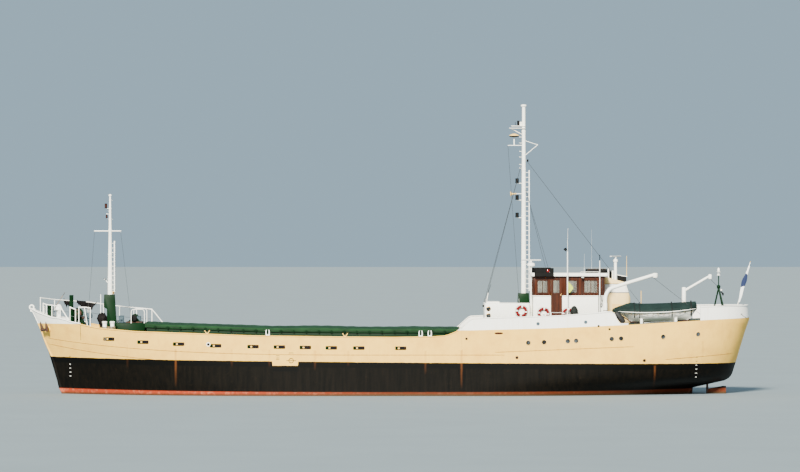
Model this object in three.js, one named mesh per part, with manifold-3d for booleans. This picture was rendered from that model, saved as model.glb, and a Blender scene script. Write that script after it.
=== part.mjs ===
// A small motor coaster afloat and light: a steel hull with one long cargo hatch amidships, a wooden
// wheelhouse on a steel deckhouse aft, two lowering masts, and one boat under davits to port.
// Millimetres. +X forward, +Y port, +Z up. The origin lies amidships, on the centreline, at the waterline.
import * as THREE from "three";
import { mergeVertices } from "three/addons/utils/BufferGeometryUtils.js";
import Module from "manifold-3d";

const wasm = await Module();
wasm.setup();

// Where two pieces touch, this much stays between them.
const GAP = 0.5;
// Running room round a shaft or pin that turns.
const RUNNING = 8;
// How far a standing piece is made too long before it is trimmed to its deck.
const SUNK = 20;
// Further down and further out than anything on the ship.
const LOWEST = -2500;
const WIDEST = 5000;

// The hull, from the keel up. The keel is deeper aft: z falls by KEEL_RAKE a unit of x.
const KEEL_RAKE = 0.0138;
const KEEL_HALF = 80;
const HULL_STEPS = 24;
const WATERLINES = [
  // z, share of the rake, aft end x, stem x, half breadth, aft run from x, power, fullness, fore run the same
  [-1555, 1.0, -15000, 14700, 2300, 1000, 1.7, 1.7, 2000, 2.0, 1.7],
  [-1400, 1.0, -15000, 15100, 2900, 500, 1.8, 1.5, 2000, 2.2, 1.5],
  [-1050, 0.7, -15000, 15700, 3330, -500, 2.0, 1.3, 2200, 2.5, 1.3],
  [-500, 0.3, -15000, 16100, 3420, -1500, 2.3, 1.15, 2500, 2.8, 1.18],
  [0, 0, -15000, 16380, 3450, -3000, 2.6, 1.0, 3000, 3.0, 1.1],
  [310, 0, -15170, 16540, 3450, -3500, 2.9, 0.9, 3200, 3.05, 1.07],
  [470, 0, -15800, 16580, 3450, -4000, 2.95, 0.85, 3300, 3.1, 1.05],
  [660, 0, -16750, 16620, 3450, -4500, 3.1, 0.75, 3400, 3.15, 1.03],
  [900, 0, -17080, 16680, 3450, -4800, 3.5, 0.62, 3500, 3.2, 1.0],
  [1600, 0, -17306, 16840, 3450, -5300, 4.0, 0.5, 3900, 3.4, 0.94],
  [2550, 0, -17605, 17230, 3450, -6000, 4.4, 0.46, 4500, 3.7, 0.87],
  [3270, 0, -17830, 17500, 3450, -6000, 4.5, 0.45, 4800, 3.9, 0.82],
  [3810, 0, -18000, 17750, 3450, -6000, 4.5, 0.45, 5000, 4.0, 0.8],
  [4600, 0, -17930, 18130, 3450, -6000, 4.5, 0.45, 5200, 4.1, 0.78],
];

// Columns of a waterline that hold its ends.
const AFT_END = 2;
const STEM_END = 3;

// Deck lines along the hull's side, x and z. The decks are flat across.
const POOP_BREAK = -3580;
const FORE_BREAK = 15350;
const POOP_DECK = [
  [-18300, 3840],
  [-15670, 3740],
  [-11560, 3500],
  [-7920, 3340],
  [POOP_BREAK, 3230],
];
const MAIN_DECK = [
  [POOP_BREAK, 2250],
  [-230, 2220],
  [3330, 2250],
  [6900, 2300],
  [9540, 2400],
  [12600, 2500],
  [14160, 2630],
  [FORE_BREAK, 2720],
];
const FORE_DECK = [
  [FORE_BREAK, 3500],
  [18400, 3500],
];

// Bulwarks: plates on the deck edge under a flat rail. Top lines, x and z.
const PLATE = 45;
const RAIL_OUT = 30;
const RAIL_DEEP = 45;
const BULWARK_TOP = [
  [POOP_BREAK, 3420],
  [-3320, 3200],
  [-2800, 3000],
  [-2180, 2950],
  [-230, 2920],
  [3330, 2950],
  [6900, 3000],
  [9540, 3100],
  [12600, 3200],
  [14160, 3330],
  [14500, 3370],
  [FORE_BREAK - 20, 3530],
];
const POOP_BULWARK_TOP = [
  [-11350, 3590],
  [-11070, 4170],
  [-10800, 4170],
  [-8570, 3990],
  [-6970, 3930],
  [-4730, 3870],
  [-4060, 3840],
  [POOP_BREAK - 5, 3430],
];
const STERN_BULWARK_END = -15400;
const STERN_BULWARK_TOP = [
  [-18300, 4470],
  [STERN_BULWARK_END, 4420],
];
const BOW_BULWARK_TOP = [
  [FORE_BREAK + 5, 3580],
  [15860, 3660],
  [16070, 3740],
  [16450, 3830],
  [16900, 3880],
  [17100, 3950],
  [17480, 4070],
  [18130, 4360],
];
// Freeing ports in the main bulwark, x and z of each, and the low fairleads on its rail.
const FREEING_PORT = { long: 570, high: 180 };
const FREEING_PORTS = [
  [13900, 2790],
  [12180, 2650],
  [10400, 2560],
  [8570, 2480],
  [6720, 2440],
  [5420, 2420],
  [4140, 2400],
  [2860, 2380],
  [1500, 2370],
  [-560, 2360],
];
const FAIRLEADS = [6000, -1550, -2000];

// Screw, rudder and sole piece, all on the centreline.
const SHAFT_Z = -950;
const SHAFT_R = 70;
const SCREW = { x: -15360, r: 625, boss: 130, blades: 4, pitch: 0.62 };
const RUDDER = { stockX: -15930, stockR: 60, fore: -15990, aft: -16870, low: -1570, pintle: 40 };
const SOLE = { aft: -16180, fore: -14900, half: 70, high: 150, low: -1762 };
const SHAFT_BOSS = { fore: -14000, aft: -15080, radius: 150 };
// The hawse: a pipe that comes out of the bow square to the plating. Its turn and dip are in radians.
const HAWSE = { x: 17060, z: 3270, radius: 110, turn: 0.88, dip: 0.22 };

// Hatch and the mast house before it.
const HATCH = { aft: -3400, fore: 12050, half: 2100, lap: 80, cover: 190 };
const HATCH_TOP = [
  [-3500, 3290],
  [1000, 3290],
  [6000, 3330],
  [11000, 3500],
  [12200, 3560],
];
const MAST_HOUSE = { aft: 12180, fore: 13600, half: 1500, top: 3560 };

// Masts. Each lowers about a pin near the top of its tabernacle.
const FOREMAST = { x: 14000, pin: 4780, heel: 4330, top: 10000, foot: 125, head: 42 };
const MAINMAST = { x: -6730, pin: 4850, heel: 4640, top: 14500, foot: 124, head: 82 };
const LADDER_HALF = 130;

// Houses aft.
const FRONT_HOUSE = { aft: -7000, fore: -4730, half: 1750, top: 4550, corner: 180 };
const HOUSE = { aft: -10660, fore: -7150, half: 2000, floor: 4050, sill: 4930, top: 5900, wall: 50 };
const ROOF = { aft: -10860, fore: -7040, half: 2160, top: 6050 };
const DOOR = { fore: -8030, aft: -8580, low: 4110, high: 5840, thick: 40, room: 8 };
const PANE = { low: 5070, high: 5690 };
const SIDE_WINDOWS = [
  [-7860, -7360],
  [-9320, -8850],
  [-10340, -9680],
];
const FRONT_WINDOWS = [-1460, -490, 490, 1460];
const AFT_WINDOWS = [-1200, 1200];
const WINDOW_HALF = 360;

const FUNNEL = { fore: -10700, aft: -12060, half: 520, corner: 200 };
const EXHAUSTS = [
  // x, y, radius, top z
  [-10960, 160, 75, 6250],
  [-11130, -150, 95, 6180],
];

// The floodlight's pole, on the side deck just clear of the roof's edge.
const LAMP_POLE = { x: -8840, y: 2290, r: 28, top: 7330, lamp: 120 };

// Radars: the post, the gearbox on its head, and the bar with the angle that it stands at.
const RADAR_FORE = { x: -7060, y: 1250, postR: 38, postTop: 6400, headR: 190, headHigh: 170, turned: 0 };
const RADAR_AFT = { x: -11330, y: 0, postR: 75, postTop: 6600, headR: 115, headHigh: 150, turned: 57 };
const RADAR_BAR = { long: 1000, wide: 110, high: 70, lift: 130 };

// Lifeboat to port, and the two davits that turn on sockets beside it.
const BOAT = { aft: -15250, fore: -11100, y: 2100, half: 760 };
const DAVITS = [
  // name, arm's radius, socket radius, x, y, socket top z, pillar's radius and top z, the arm's points
  ["davit_fore", 95, 150, -10700, 2720, 4180, 95, 4600, [
    [-10700, 2720, 4500],
    [-10700, 2720, 4950],
    [-10900, 2690, 5290],
    [-11560, 2570, 5500],
    [-13190, 2250, 5990],
  ]],
  ["davit_aft", 65, 145, -14680, 1250, 4180, 105, 5350, [
    [-14680, 1250, 5150],
    [-14860, 1270, 5265],
    [-15970, 1420, 5920],
  ]],
];

const COLOURS = {
  cream: 0xe9cf9f,
  white: 0xf0ede6,
  green: 0x1d5135,
  cover: 0x2f4a44,
  wood: 0x6d3b1f,
  black: 0x1c1a1a,
  steel: 0x5c5a57,
  rust: 0x6b3a28,
  bronze: 0x9a6b35,
  grey: 0x8a9499,
  blue: 0x2d6690,
};

// Straight-line value at x in a table of x and value, x rising.
function lineAt(table, x) {
  const next = table.findIndex(([tx]) => tx >= x);
  if (next <= 0) return table[next === 0 ? 0 : table.length - 1][1];
  const [xa, za] = table[next - 1];
  const [xb, zb] = table[next];
  return za + ((zb - za) * (x - xa)) / (xb - xa);
}

// x values from low to high, at most step apart, with the table's own x values among them.
function spread(table, low, high, step) {
  const inner = table.map(([x]) => x).filter((x) => x > low + 40 && x < high - 40);
  const marks = [low, ...inner, high];
  const all = [low];
  for (let i = 1; i < marks.length; i++) {
    const parts = Math.max(1, Math.ceil((marks[i] - marks[i - 1]) / step));
    for (let p = 1; p <= parts; p++) all.push(marks[i - 1] + ((marks[i] - marks[i - 1]) * p) / parts);
  }
  return all;
}

function toSolid(geometry) {
  const bare = geometry.clone();
  bare.deleteAttribute("normal");
  bare.deleteAttribute("uv");
  const merged = mergeVertices(bare, 1e-3);
  return new wasm.Manifold(
    new wasm.Mesh({
      numProp: 3,
      vertProperties: new Float32Array(merged.attributes.position.array),
      triVerts: new Uint32Array(merged.index.array),
    }),
  );
}

function toGeometry(body) {
  const mesh = body.getMesh();
  const geometry = new THREE.BufferGeometry();
  geometry.setAttribute("position", new THREE.BufferAttribute(mesh.vertProperties, 3));
  geometry.setIndex(new THREE.BufferAttribute(mesh.triVerts, 1));
  geometry.computeVertexNormals();
  return geometry;
}

const join = (...bodies) => bodies.flat().reduce((all, body) => all.add(body));
const cut = (body, ...tools) => tools.flat().reduce((left, tool) => left.subtract(tool), body);

function box(x0, x1, y0, y1, z0, z1) {
  const geometry = new THREE.BoxGeometry(x1 - x0, y1 - y0, z1 - z0);
  return toSolid(geometry.translate((x0 + x1) / 2, (y0 + y1) / 2, (z0 + z1) / 2));
}

// A round bar from a to b, which may taper.
function rod(a, b, radius, sides = 8, endRadius = radius) {
  const from = new THREE.Vector3(...a);
  const to = new THREE.Vector3(...b);
  const along = to.clone().sub(from);
  const geometry = new THREE.CylinderGeometry(endRadius, radius, along.length(), sides);
  geometry.applyQuaternion(
    new THREE.Quaternion().setFromUnitVectors(new THREE.Vector3(0, 1, 0), along.clone().normalize()),
  );
  return toSolid(geometry.translate(...from.add(to).multiplyScalar(0.5).toArray()));
}

// A round tube along a smooth curve through the points.
function bentTube(points, radius, sides, steps) {
  const ring = new THREE.Shape();
  for (let i = 0; i < sides; i++) {
    const angle = (2 * Math.PI * i) / sides;
    const place = [radius * Math.cos(angle), radius * Math.sin(angle)];
    if (i === 0) ring.moveTo(...place);
    else ring.lineTo(...place);
  }
  const path = new THREE.CatmullRomCurve3(points.map((p) => new THREE.Vector3(...p)), false, "centripetal");
  return toSolid(new THREE.ExtrudeGeometry(ring, { steps, extrudePath: path, bevelEnabled: false }));
}

const shapeOf = (points) => new THREE.Shape(points.map(([u, v]) => new THREE.Vector2(u, v)));

// A side outline, x and z, carried across from y0 to y1.
function across(points, y0, y1) {
  const geometry = new THREE.ExtrudeGeometry(shapeOf(points), { depth: y1 - y0, bevelEnabled: false });
  return toSolid(geometry.rotateX(Math.PI / 2).translate(0, y1, 0));
}

// A plan outline, x and y, carried up from z0 to z1.
function upward(points, z0, z1) {
  const geometry = new THREE.ExtrudeGeometry(shapeOf(points), { depth: z1 - z0, bevelEnabled: false });
  return toSolid(geometry.translate(0, 0, z0));
}

// A frame outline, y and z, carried along from x0 to x1.
function lengthwise(points, x0, x1) {
  const geometry = new THREE.ExtrudeGeometry(shapeOf(points), { depth: x1 - x0, bevelEnabled: false });
  return toSolid(geometry.rotateX(Math.PI / 2).rotateZ(Math.PI / 2).translate(x0, 0, 0));
}

// A rectangle with round corners, four points a corner.
function roundedBox(x0, x1, y0, y1, corner) {
  const points = [];
  const centres = [
    [x1 - corner, y1 - corner],
    [x0 + corner, y1 - corner],
    [x0 + corner, y0 + corner],
    [x1 - corner, y0 + corner],
  ];
  centres.forEach(([cx, cy], quarter) => {
    for (let i = 0; i <= 3; i++) {
      const angle = ((quarter + i / 3) * Math.PI) / 2;
      points.push([cx + corner * Math.cos(angle), cy + corner * Math.sin(angle)]);
    }
  });
  return points;
}

// A long hole with round ends, x and z.
function slotOutline(x, z, long, high) {
  const points = [];
  for (const side of [1, -1]) {
    for (let i = 0; i <= 4; i++) {
      const angle = -side * (Math.PI / 2) + (side * Math.PI * i) / 4;
      const middle = x + side * (long / 2 - high / 2);
      points.push([middle + (side * high * Math.cos(angle)) / 2, z + (high * Math.sin(angle)) / 2]);
    }
  }
  return points;
}

const signedArea = (points) => {
  let sum = 0;
  points.forEach(([u, v], i) => {
    const [nextU, nextV] = points[(i + 1) % points.length];
    sum += u * nextV - nextU * v;
  });
  return sum / 2;
};

// A closed body through rings of equal length, each end closed by its own ring. Paired rings run out along
// one side and back along the other, and their ends are closed straight across.
function ringTube(rings, paired = false) {
  const count = rings[0].length;
  const faces = [];
  for (let r = 0; r + 1 < rings.length; r++) {
    for (let i = 0; i < count; i++) {
      const a = r * count + i;
      const b = r * count + ((i + 1) % count);
      faces.push([a, b, b + count], [a, b + count, a + count]);
    }
  }
  for (const r of [0, rings.length - 1]) {
    for (const face of paired ? pairedCap(count) : flatCap(rings[r])) {
      const ordered = r === 0 ? [...face].reverse() : face;
      faces.push(ordered.map((i) => r * count + i));
    }
  }
  const points = rings.flat();
  let volume = 0;
  for (const face of faces) {
    const [a, b, c] = face.map((i) => new THREE.Vector3(...points[i]));
    volume += a.dot(b.cross(c));
  }
  if (volume < 0) faces.forEach((face) => face.reverse());
  const geometry = new THREE.BufferGeometry();
  geometry.setAttribute("position", new THREE.Float32BufferAttribute(points.flat(), 3));
  geometry.setIndex(faces.flat());
  return toSolid(geometry);
}

// Faces across a ring, in the ring's own sense of turning.
function pairedCap(count) {
  const faces = [];
  for (let i = 0; i + 1 < count / 2; i++) {
    const back = count - 1 - i;
    faces.push([i, i + 1, back], [i + 1, back - 1, back]);
  }
  return faces;
}

function flatCap(ring) {
  const outline = flattened(ring);
  const contour = outline.map(([u, v]) => new THREE.Vector2(u, v));
  const turns = Math.sign(signedArea(outline));
  return THREE.ShapeUtils.triangulateShape(contour, []).map((face) => {
    const facing = Math.sign(signedArea(face.map((i) => outline[i])));
    return facing === turns ? face : [...face].reverse();
  });
}

// A ring of points seen square to its own plane.
function flattened(ring) {
  const points = ring.map((p) => new THREE.Vector3(...p));
  const normal = new THREE.Vector3();
  points.forEach((p, i) => normal.add(p.clone().cross(points[(i + 1) % points.length])));
  normal.normalize();
  const aside = Math.abs(normal.z) < 0.9 ? new THREE.Vector3(0, 0, 1) : new THREE.Vector3(1, 0, 0);
  const u = aside.cross(normal).normalize();
  const v = normal.clone().cross(u);
  return points.map((p) => [p.dot(u), p.dot(v)]);
}

// A body and its copy on the other side of the centreline.
const mirrored = (body) => body.mirror([0, 1, 0]);

// Half breadth of one waterline row at x.
function rowBreadth(row, x) {
  const [, , aft, stem, half, aftFrom, aftPower, aftFull, foreFrom, forePower, foreFull] = row;
  let breadth = half;
  if (x < aftFrom) {
    const run = Math.min(1, (aftFrom - x) / (aftFrom - aft));
    breadth = half * (1 - run ** aftPower) ** aftFull;
  } else if (x > foreFrom) {
    const run = Math.min(1, (x - foreFrom) / (stem - foreFrom));
    breadth = half * (1 - run ** forePower) ** foreFull;
  }
  return Math.max(KEEL_HALF, breadth);
}

// A row between two rows, at height z.
function rowAt(z) {
  const next = Math.max(1, WATERLINES.findIndex((row) => row[0] >= z));
  const low = WATERLINES[next - 1];
  const high = WATERLINES[next];
  const share = (z - low[0]) / (high[0] - low[0]);
  return low.map((value, i) => value + (high[i] - value) * share);
}

const breadthAt = (x, z) => rowBreadth(rowAt(z), x);

// Hull form up to the top row, one ring for each waterline.
function hullForm() {
  const rings = WATERLINES.map((row) => {
    const side = [];
    for (let i = 0; i <= HULL_STEPS; i++) {
      const along = (1 - Math.cos((Math.PI * i) / HULL_STEPS)) / 2;
      const x = row[2] + (row[3] - row[2]) * along;
      side.push([x, rowBreadth(row, x), row[0] + row[1] * KEEL_RAKE * x]);
    }
    return [...side, ...side.map(([x, y, z]) => [x, -y, z]).reverse()];
  });
  return ringTube(rings, true);
}

// Everything below the decks, lifted by lift.
function belowDecks(lift) {
  const decks = [...POOP_DECK, ...MAIN_DECK, ...FORE_DECK].map(([x, z]) => [x, z + lift]);
  const first = decks[0];
  const last = decks[decks.length - 1];
  return across([[first[0], LOWEST], [last[0], LOWEST], ...decks.reverse()], -WIDEST, WIDEST);
}

// A piece that stands on a deck is made a little long and trimmed to it.
const trim = belowDecks(GAP);
const standing = (body) => body.subtract(trim);

// A bulwark through stations, each the foot and the head of the plate's outer face, its plate inside them.
function bulwark(stations) {
  const rings = stations.map(({ foot, head }, i) => {
    const before = stations[Math.max(0, i - 1)].foot;
    const after = stations[Math.min(stations.length - 1, i + 1)].foot;
    const length = Math.hypot(after[0] - before[0], after[1] - before[1]);
    const inward = [-(after[1] - before[1]) / length, (after[0] - before[0]) / length];
    const at = (base, depth, z) => [base[0] + inward[0] * depth, base[1] + inward[1] * depth, z];
    const top = Math.max(head[2], foot[2] + 10);
    const under = Math.max(top - RAIL_DEEP, foot[2] + 5);
    return [
      at(foot, 0, foot[2]),
      at(head, 0, under),
      at(head, -RAIL_OUT, under),
      at(head, -RAIL_OUT, top),
      at(head, PLATE + RAIL_OUT, top),
      at(head, PLATE + RAIL_OUT, under),
      at(head, PLATE, under),
      at(foot, PLATE, foot[2]),
    ];
  });
  return standing(ringTube(rings));
}

// Port stations at each x. They run from forward to aft, so that inward is to the left of the way along.
function portStations(top, deck, low, high, step) {
  return spread(top, low, high, step)
    .reverse()
    .map((x) => {
      const foot = lineAt(deck, x) - SUNK;
      const head = lineAt(top, x);
      return { foot: [x, breadthAt(x, foot), foot], head: [x, breadthAt(x, head), head] };
    });
}

// Stations that go round an end of the ship: shares of the way from start to that end, then back.
function endStations(shares, start, endColumn, top, deck) {
  const onSide = (share, side) => {
    const alongAt = (z) => start + (rowAt(z)[endColumn] - start) * share;
    const settle = (table, lift) => {
      let z = FORE_DECK[0][1];
      for (let pass = 0; pass < 6; pass++) z = lineAt(table, alongAt(z)) + lift;
      return [alongAt(z), side * breadthAt(alongAt(z), z), z];
    };
    const [foot, head] = [settle(deck, -SUNK), settle(top, 0)];
    return { foot, head };
  };
  const port = shares.map((share) => onSide(share, 1));
  const starboard = shares.map((share) => onSide(share, -1)).reverse();
  return [...port, ...starboard];
}

const group = new THREE.Group();

function add(name, body, colour, roughness = 0.6, metalness = 0.1) {
  const material = new THREE.MeshStandardMaterial({ color: COLOURS[colour], roughness, metalness });
  const mesh = new THREE.Mesh(toGeometry(body), material);
  mesh.name = name;
  group.add(mesh);
}

function addHull() {
  const soleTop = SOLE.low + SOLE.high;
  const sockets = DAVITS.map(([, , socketR, x, y, top]) =>
    rod([x, y, lineAt(POOP_DECK, x) - 60], [x, y, top], socketR, 12),
  );
  const form = join(
    hullForm().intersect(belowDecks(0)),
    box(SOLE.aft, SOLE.fore, -SOLE.half, SOLE.half, SOLE.low, soleTop),
    rod([SHAFT_BOSS.fore, 0, SHAFT_Z], [SHAFT_BOSS.aft, 0, SHAFT_Z], SHAFT_BOSS.radius, 12),
    sockets,
  );
  const x = RUDDER.stockX;
  const stockHole = rod([x, 0, 0], [x, 0, 1000], RUDDER.stockR + RUNNING, 12);
  const heelHole = rod([x, 0, soleTop - 90], [x, 0, soleTop + 50], RUDDER.pintle + RUNNING, 12);
  const shaftHole = rod([-14700, 0, SHAFT_Z], [-15200, 0, SHAFT_Z], SHAFT_R + RUNNING, 12);
  add("hull", cut(form, stockHole, heelHole, shaftHole, hawse(1), hawse(-1)), "cream", 0.55);
}

// Which way the hawse points, out of the ship on one side.
const hawseWay = (side) =>
  new THREE.Vector3(Math.sin(HAWSE.turn), side * Math.cos(HAWSE.turn), -Math.sin(HAWSE.dip));

const hawseMouth = (side) => new THREE.Vector3(HAWSE.x, side * breadthAt(HAWSE.x, HAWSE.z), HAWSE.z);

function hawse(side) {
  const at = (distance) => hawseMouth(side).addScaledVector(hawseWay(side), distance).toArray();
  return rod(at(-320), at(300), HAWSE.radius, 12);
}

function addBulwarks() {
  const side = portStations(BULWARK_TOP, MAIN_DECK, POOP_BREAK + 5, FORE_BREAK - 20, 1600);
  const ports = FREEING_PORTS.map(([x, z]) =>
    across(slotOutline(x, z, FREEING_PORT.long, FREEING_PORT.high), 1500, 4500),
  );
  const leads = FAIRLEADS.map((x) => {
    const z = lineAt(BULWARK_TOP, x);
    const y = breadthAt(x, z);
    return box(x - 100, x + 100, y - 60, y + 10, z - 20, z + 300);
  });
  const main = join(cut(bulwark(side), ports), leads);
  add("bulwark_port", main, "cream");
  add("bulwark_starboard", mirrored(main), "cream");
  const poop = bulwark(portStations(POOP_BULWARK_TOP, POOP_DECK, -11800, POOP_BREAK - 5, 1600));
  add("poop_bulwark_port", poop, "white");
  add("poop_bulwark_starboard", mirrored(poop), "white");

  const sternShares = [0, 0.15, 0.35, 0.55, 0.72, 0.85, 0.94, 0.985, 1];
  const stern = endStations(sternShares, STERN_BULWARK_END, AFT_END, STERN_BULWARK_TOP, POOP_DECK);
  add("stern_bulwark", bulwark(stern), "white");

  const bowShares = [0, 0.17, 0.34, 0.5, 0.65, 0.78, 0.89, 0.96, 1];
  const bow = endStations(bowShares, FORE_BREAK + 5, STEM_END, BOW_BULWARK_TOP, FORE_DECK);
  const ring = new THREE.TorusGeometry(105, 38, 8, 14).rotateX(Math.PI / 2).translate(17930, 0, 4330);
  add("bow_bulwark", join(bulwark(bow.reverse()), toSolid(ring)), "white");
}

// Guard rails of the bow: runs of points with posts down to the deck under each point that has one.
const RAIL_R = 27;
const POST_R = 22;
const PORT_RAILS = [
  // each run: x, z of the top, and whether a post stands there
  [[17330, 4530, 1], [17150, 4470, 1], [16850, 4450, 1], [16400, 4370, 1], [15960, 3720, 1]],
  [[15890, 4360, 1], [15600, 4250, 1]],
  [[15430, 4360, 1], [15080, 4360, 0], [14830, 4330, 1]],
];
const STARBOARD_RAIL = [
  [17500, 4800, 1],
  [16850, 4700, 1],
  [16050, 4630, 1],
  [15250, 4560, 1],
  [14500, 4450, 1],
  [13700, 4340, 1],
  [12850, 4250, 1],
  [12080, 4180, 1],
  [11300, 3205, 0],
];
const RAIL_INSET = 130;

// Height of the deck or of the bulwark's rail that a post at x stands on, at the ship's side.
function railFoot(x) {
  if (x > FORE_BREAK) return FORE_DECK[0][1] + GAP;
  return Math.max(lineAt(BULWARK_TOP, x - POST_R), lineAt(BULWARK_TOP, x + POST_R)) + 4 * GAP;
}

function guardRail(run, side, inset) {
  const at = ([x, z]) => [x, side * (breadthAt(x, railFoot(x)) - inset(x)), z];
  const bars = [];
  run.forEach((point, i) => {
    const [x, y, z] = at(point);
    if (point[2]) bars.push(rod([x, y, railFoot(x)], [x, y, z], POST_R, 6));
    if (i === 0) return;
    bars.push(rod(at(run[i - 1]), [x, y, z], RAIL_R, 6));
  });
  return join(bars);
}

function addBowRails() {
  const inset = (x) => (x > FORE_BREAK ? RAIL_INSET : 15);
  PORT_RAILS.forEach((run, i) => {
    add(`bow_rail_port_${i + 1}`, guardRail(run, 1, inset), "white", 0.5, 0.2);
  });
  add("bow_rail_starboard", guardRail(STARBOARD_RAIL, -1, inset), "white", 0.5, 0.2);
}

function addSteering() {
  const { stockX, stockR, fore, aft, low, pintle } = RUDDER;
  const outline = [
    [fore + 60, low],
    [aft + 60, low],
    [aft, low + 120],
    [aft, 400],
    [fore + 60, 250],
  ];
  const blade = across(outline, -45, 45);
  const stock = rod([stockX, 0, low], [stockX, 0, 980], stockR, 12);
  const heel = rod([stockX, 0, low - 70], [stockX, 0, low + 5], pintle, 12);
  add("rudder", join(blade, stock, heel), "rust");

  const [bossAft, bossFore] = [SCREW.x - 150, SCREW.x + 150];
  const boss = rod([bossAft, 0, SHAFT_Z], [bossFore, 0, SHAFT_Z], SCREW.boss * 0.75, 12, SCREW.boss);
  const shaft = rod([SCREW.x, 0, SHAFT_Z], [SCREW.x + 520, 0, SHAFT_Z], SHAFT_R, 12);
  const blades = [];
  for (let i = 0; i < SCREW.blades; i++) blades.push(screwBlade((2 * Math.PI * i) / SCREW.blades));
  add("propeller", join(boss, shaft, blades), "bronze", 0.35, 0.8);
}

// One blade: chords of growing radius, each turned to the pitch there, then turned about the shaft.
function screwBlade(angle) {
  const chords = [
    // radius share, chord, thickness
    [0.15, 170, 40],
    [0.45, 300, 28],
    [0.75, 340, 20],
    [0.93, 240, 14],
    [1.0, 110, 10],
  ];
  const rings = chords.map(([share, chord, thick]) => {
    const radius = SCREW.r * share;
    const twist = Math.atan2(SCREW.pitch * SCREW.r * 2, 2 * Math.PI * radius);
    return [[-0.5, 0], [0, 0.5], [0.5, 0], [0, -0.5]].map(([u, v]) => {
      const [along, off] = [u * chord, v * thick];
      const x = SCREW.x + along * Math.sin(twist) - off * Math.cos(twist);
      const tangent = along * Math.cos(twist) + off * Math.sin(twist);
      const y = tangent * Math.cos(angle) - radius * Math.sin(angle);
      const z = tangent * Math.sin(angle) + radius * Math.cos(angle);
      return [x, y, SHAFT_Z + z];
    });
  });
  return ringTube(rings);
}

// A stockless anchor drawn up into its hawse: shank in the pipe, crown and two flukes outside.
function addAnchors() {
  for (const [name, side] of [["anchor_port", 1], ["anchor_starboard", -1]]) {
    const out = hawseWay(side).normalize();
    const along = new THREE.Vector3(0, 0, 1).cross(out).normalize();
    const up = out.clone().cross(along).normalize();
    const at = (o, a, u) =>
      hawseMouth(side).addScaledVector(out, o).addScaledVector(along, a).addScaledVector(up, u).toArray();
    const shank = rod(at(-300, 0, 0), at(230, 0, 0), 55, 8);
    const crown = rod(at(230, -260, 0), at(230, 260, 0), 70, 8);
    const flukes = [-210, 210].map((a) => rod(at(230, a, 0), at(215, a * 1.15, 420), 62, 6, 20));
    const palms = [-210, 210].map((a) => rod(at(230, a, -90), at(230, a, 60), 85, 6, 60));
    add(name, join(shank, crown, flukes, palms), "black");
  }
}

// Windlass: two side frames on a bed, one shaft across with a gear wheel, two chain wheels and two ends.
function addWindlass() {
  const x = 15620;
  const deck = FORE_DECK[0][1] + GAP;
  const shaftZ = deck + 520;
  const disc = (y0, y1, r, sides) => rod([x, y0, shaftZ], [x, y1, shaftZ], r, sides);
  const frame = [
    [x - 330, deck + 60],
    [x + 330, deck + 60],
    [x + 90, shaftZ + 110],
    [x - 90, shaftZ + 110],
  ];
  const wheels = [
    // y from, y to, radius
    [-700, -470, 150],
    [470, 700, 150],
    [-200, -80, 210],
    [80, 200, 210],
    [-45, 45, 300],
    [-760, -720, 190],
    [720, 760, 190],
  ];
  add(
    "windlass",
    join(
      box(x - 380, x + 380, -420, 420, deck, deck + 70),
      [-330, 290].map((y) => across(frame, y, y + 40)),
      disc(-760, 760, 55, 10),
      wheels.map(([y0, y1, r]) => disc(y0, y1, r, 14)),
      rod([x - 250, -330, deck + 300], [x - 250, 330, deck + 300], 45, 8),
    ),
    "green",
  );
}

// Small upright fittings of the bow: name, colour, x, y, then bars as low z, high z, low and high radius.
const BOW_FITTINGS = [
  ["bow_vent_pipe", "green", 15900, 560, [[3500, 4950, 105, 105]]],
  ["bow_cowl_vent", "white", 16540, 330, [[3500, 4150, 150, 110], [4140, 4480, 190, 60]]],
  ["deck_vent", "grey", 14960, 1720, [[2600, 3900, 130, 130], [3820, 4060, 190, 170]]],
];

function addBowFittings() {
  for (const [name, colour, x, y, bars] of BOW_FITTINGS) {
    const stack = bars.map(([low, high, foot, head]) =>
      rod([x, y, low - SUNK], [x, y, high], foot, 12, head),
    );
    add(name, standing(join(stack)), colour);
  }
  add("bow_locker", standing(box(16880, 17120, -330, 330, 3480, 4480)), "green");
}

// Mooring bitts: two posts with caps on one bed plate.
const BITTS = { x: 13950, y: 1960, high: 1030 };

function addBitts() {
  const { x, y, high } = BITTS;
  const deck = lineAt(MAIN_DECK, x);
  const posts = [-190, 190].flatMap((dx) => [
    rod([x + dx, y, deck], [x + dx, y, deck + high], 100, 10),
    rod([x + dx, y, deck + high - 60], [x + dx, y, deck + high + 20], 130, 10),
  ]);
  const bitts = standing(join(box(x - 380, x + 380, y - 170, y + 170, deck - 80, deck + 60), posts));
  add("bitts_fore_port", bitts, "white");
  add("bitts_fore_starboard", mirrored(bitts), "white");
}

function addCargoWinch() {
  const x = 12760;
  const bed = MAST_HOUSE.top + GAP;
  const shaftZ = bed + 250;
  const disc = (y0, y1, r) => rod([x, y0, shaftZ], [x, y1, shaftZ], r, 14);
  const frame = [
    [x - 330, bed + 50],
    [x + 330, bed + 50],
    [x + 90, shaftZ + 70],
    [x - 90, shaftZ + 70],
  ];
  add(
    "cargo_winch",
    join(
      box(x - 400, x + 400, -640, 640, bed, bed + 60),
      [-520, 480].map((y) => across(frame, y, y + 40)),
      disc(-800, 800, 50),
      disc(-330, 330, 120),
      [-360, 300].map((y) => disc(y, y + 60, 190)),
      [-800, 640].map((y) => disc(y, y + 160, 130)),
      box(x - 330, x - 130, 200, 470, bed + 50, bed + 340),
    ),
    "steel",
  );
}

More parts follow.
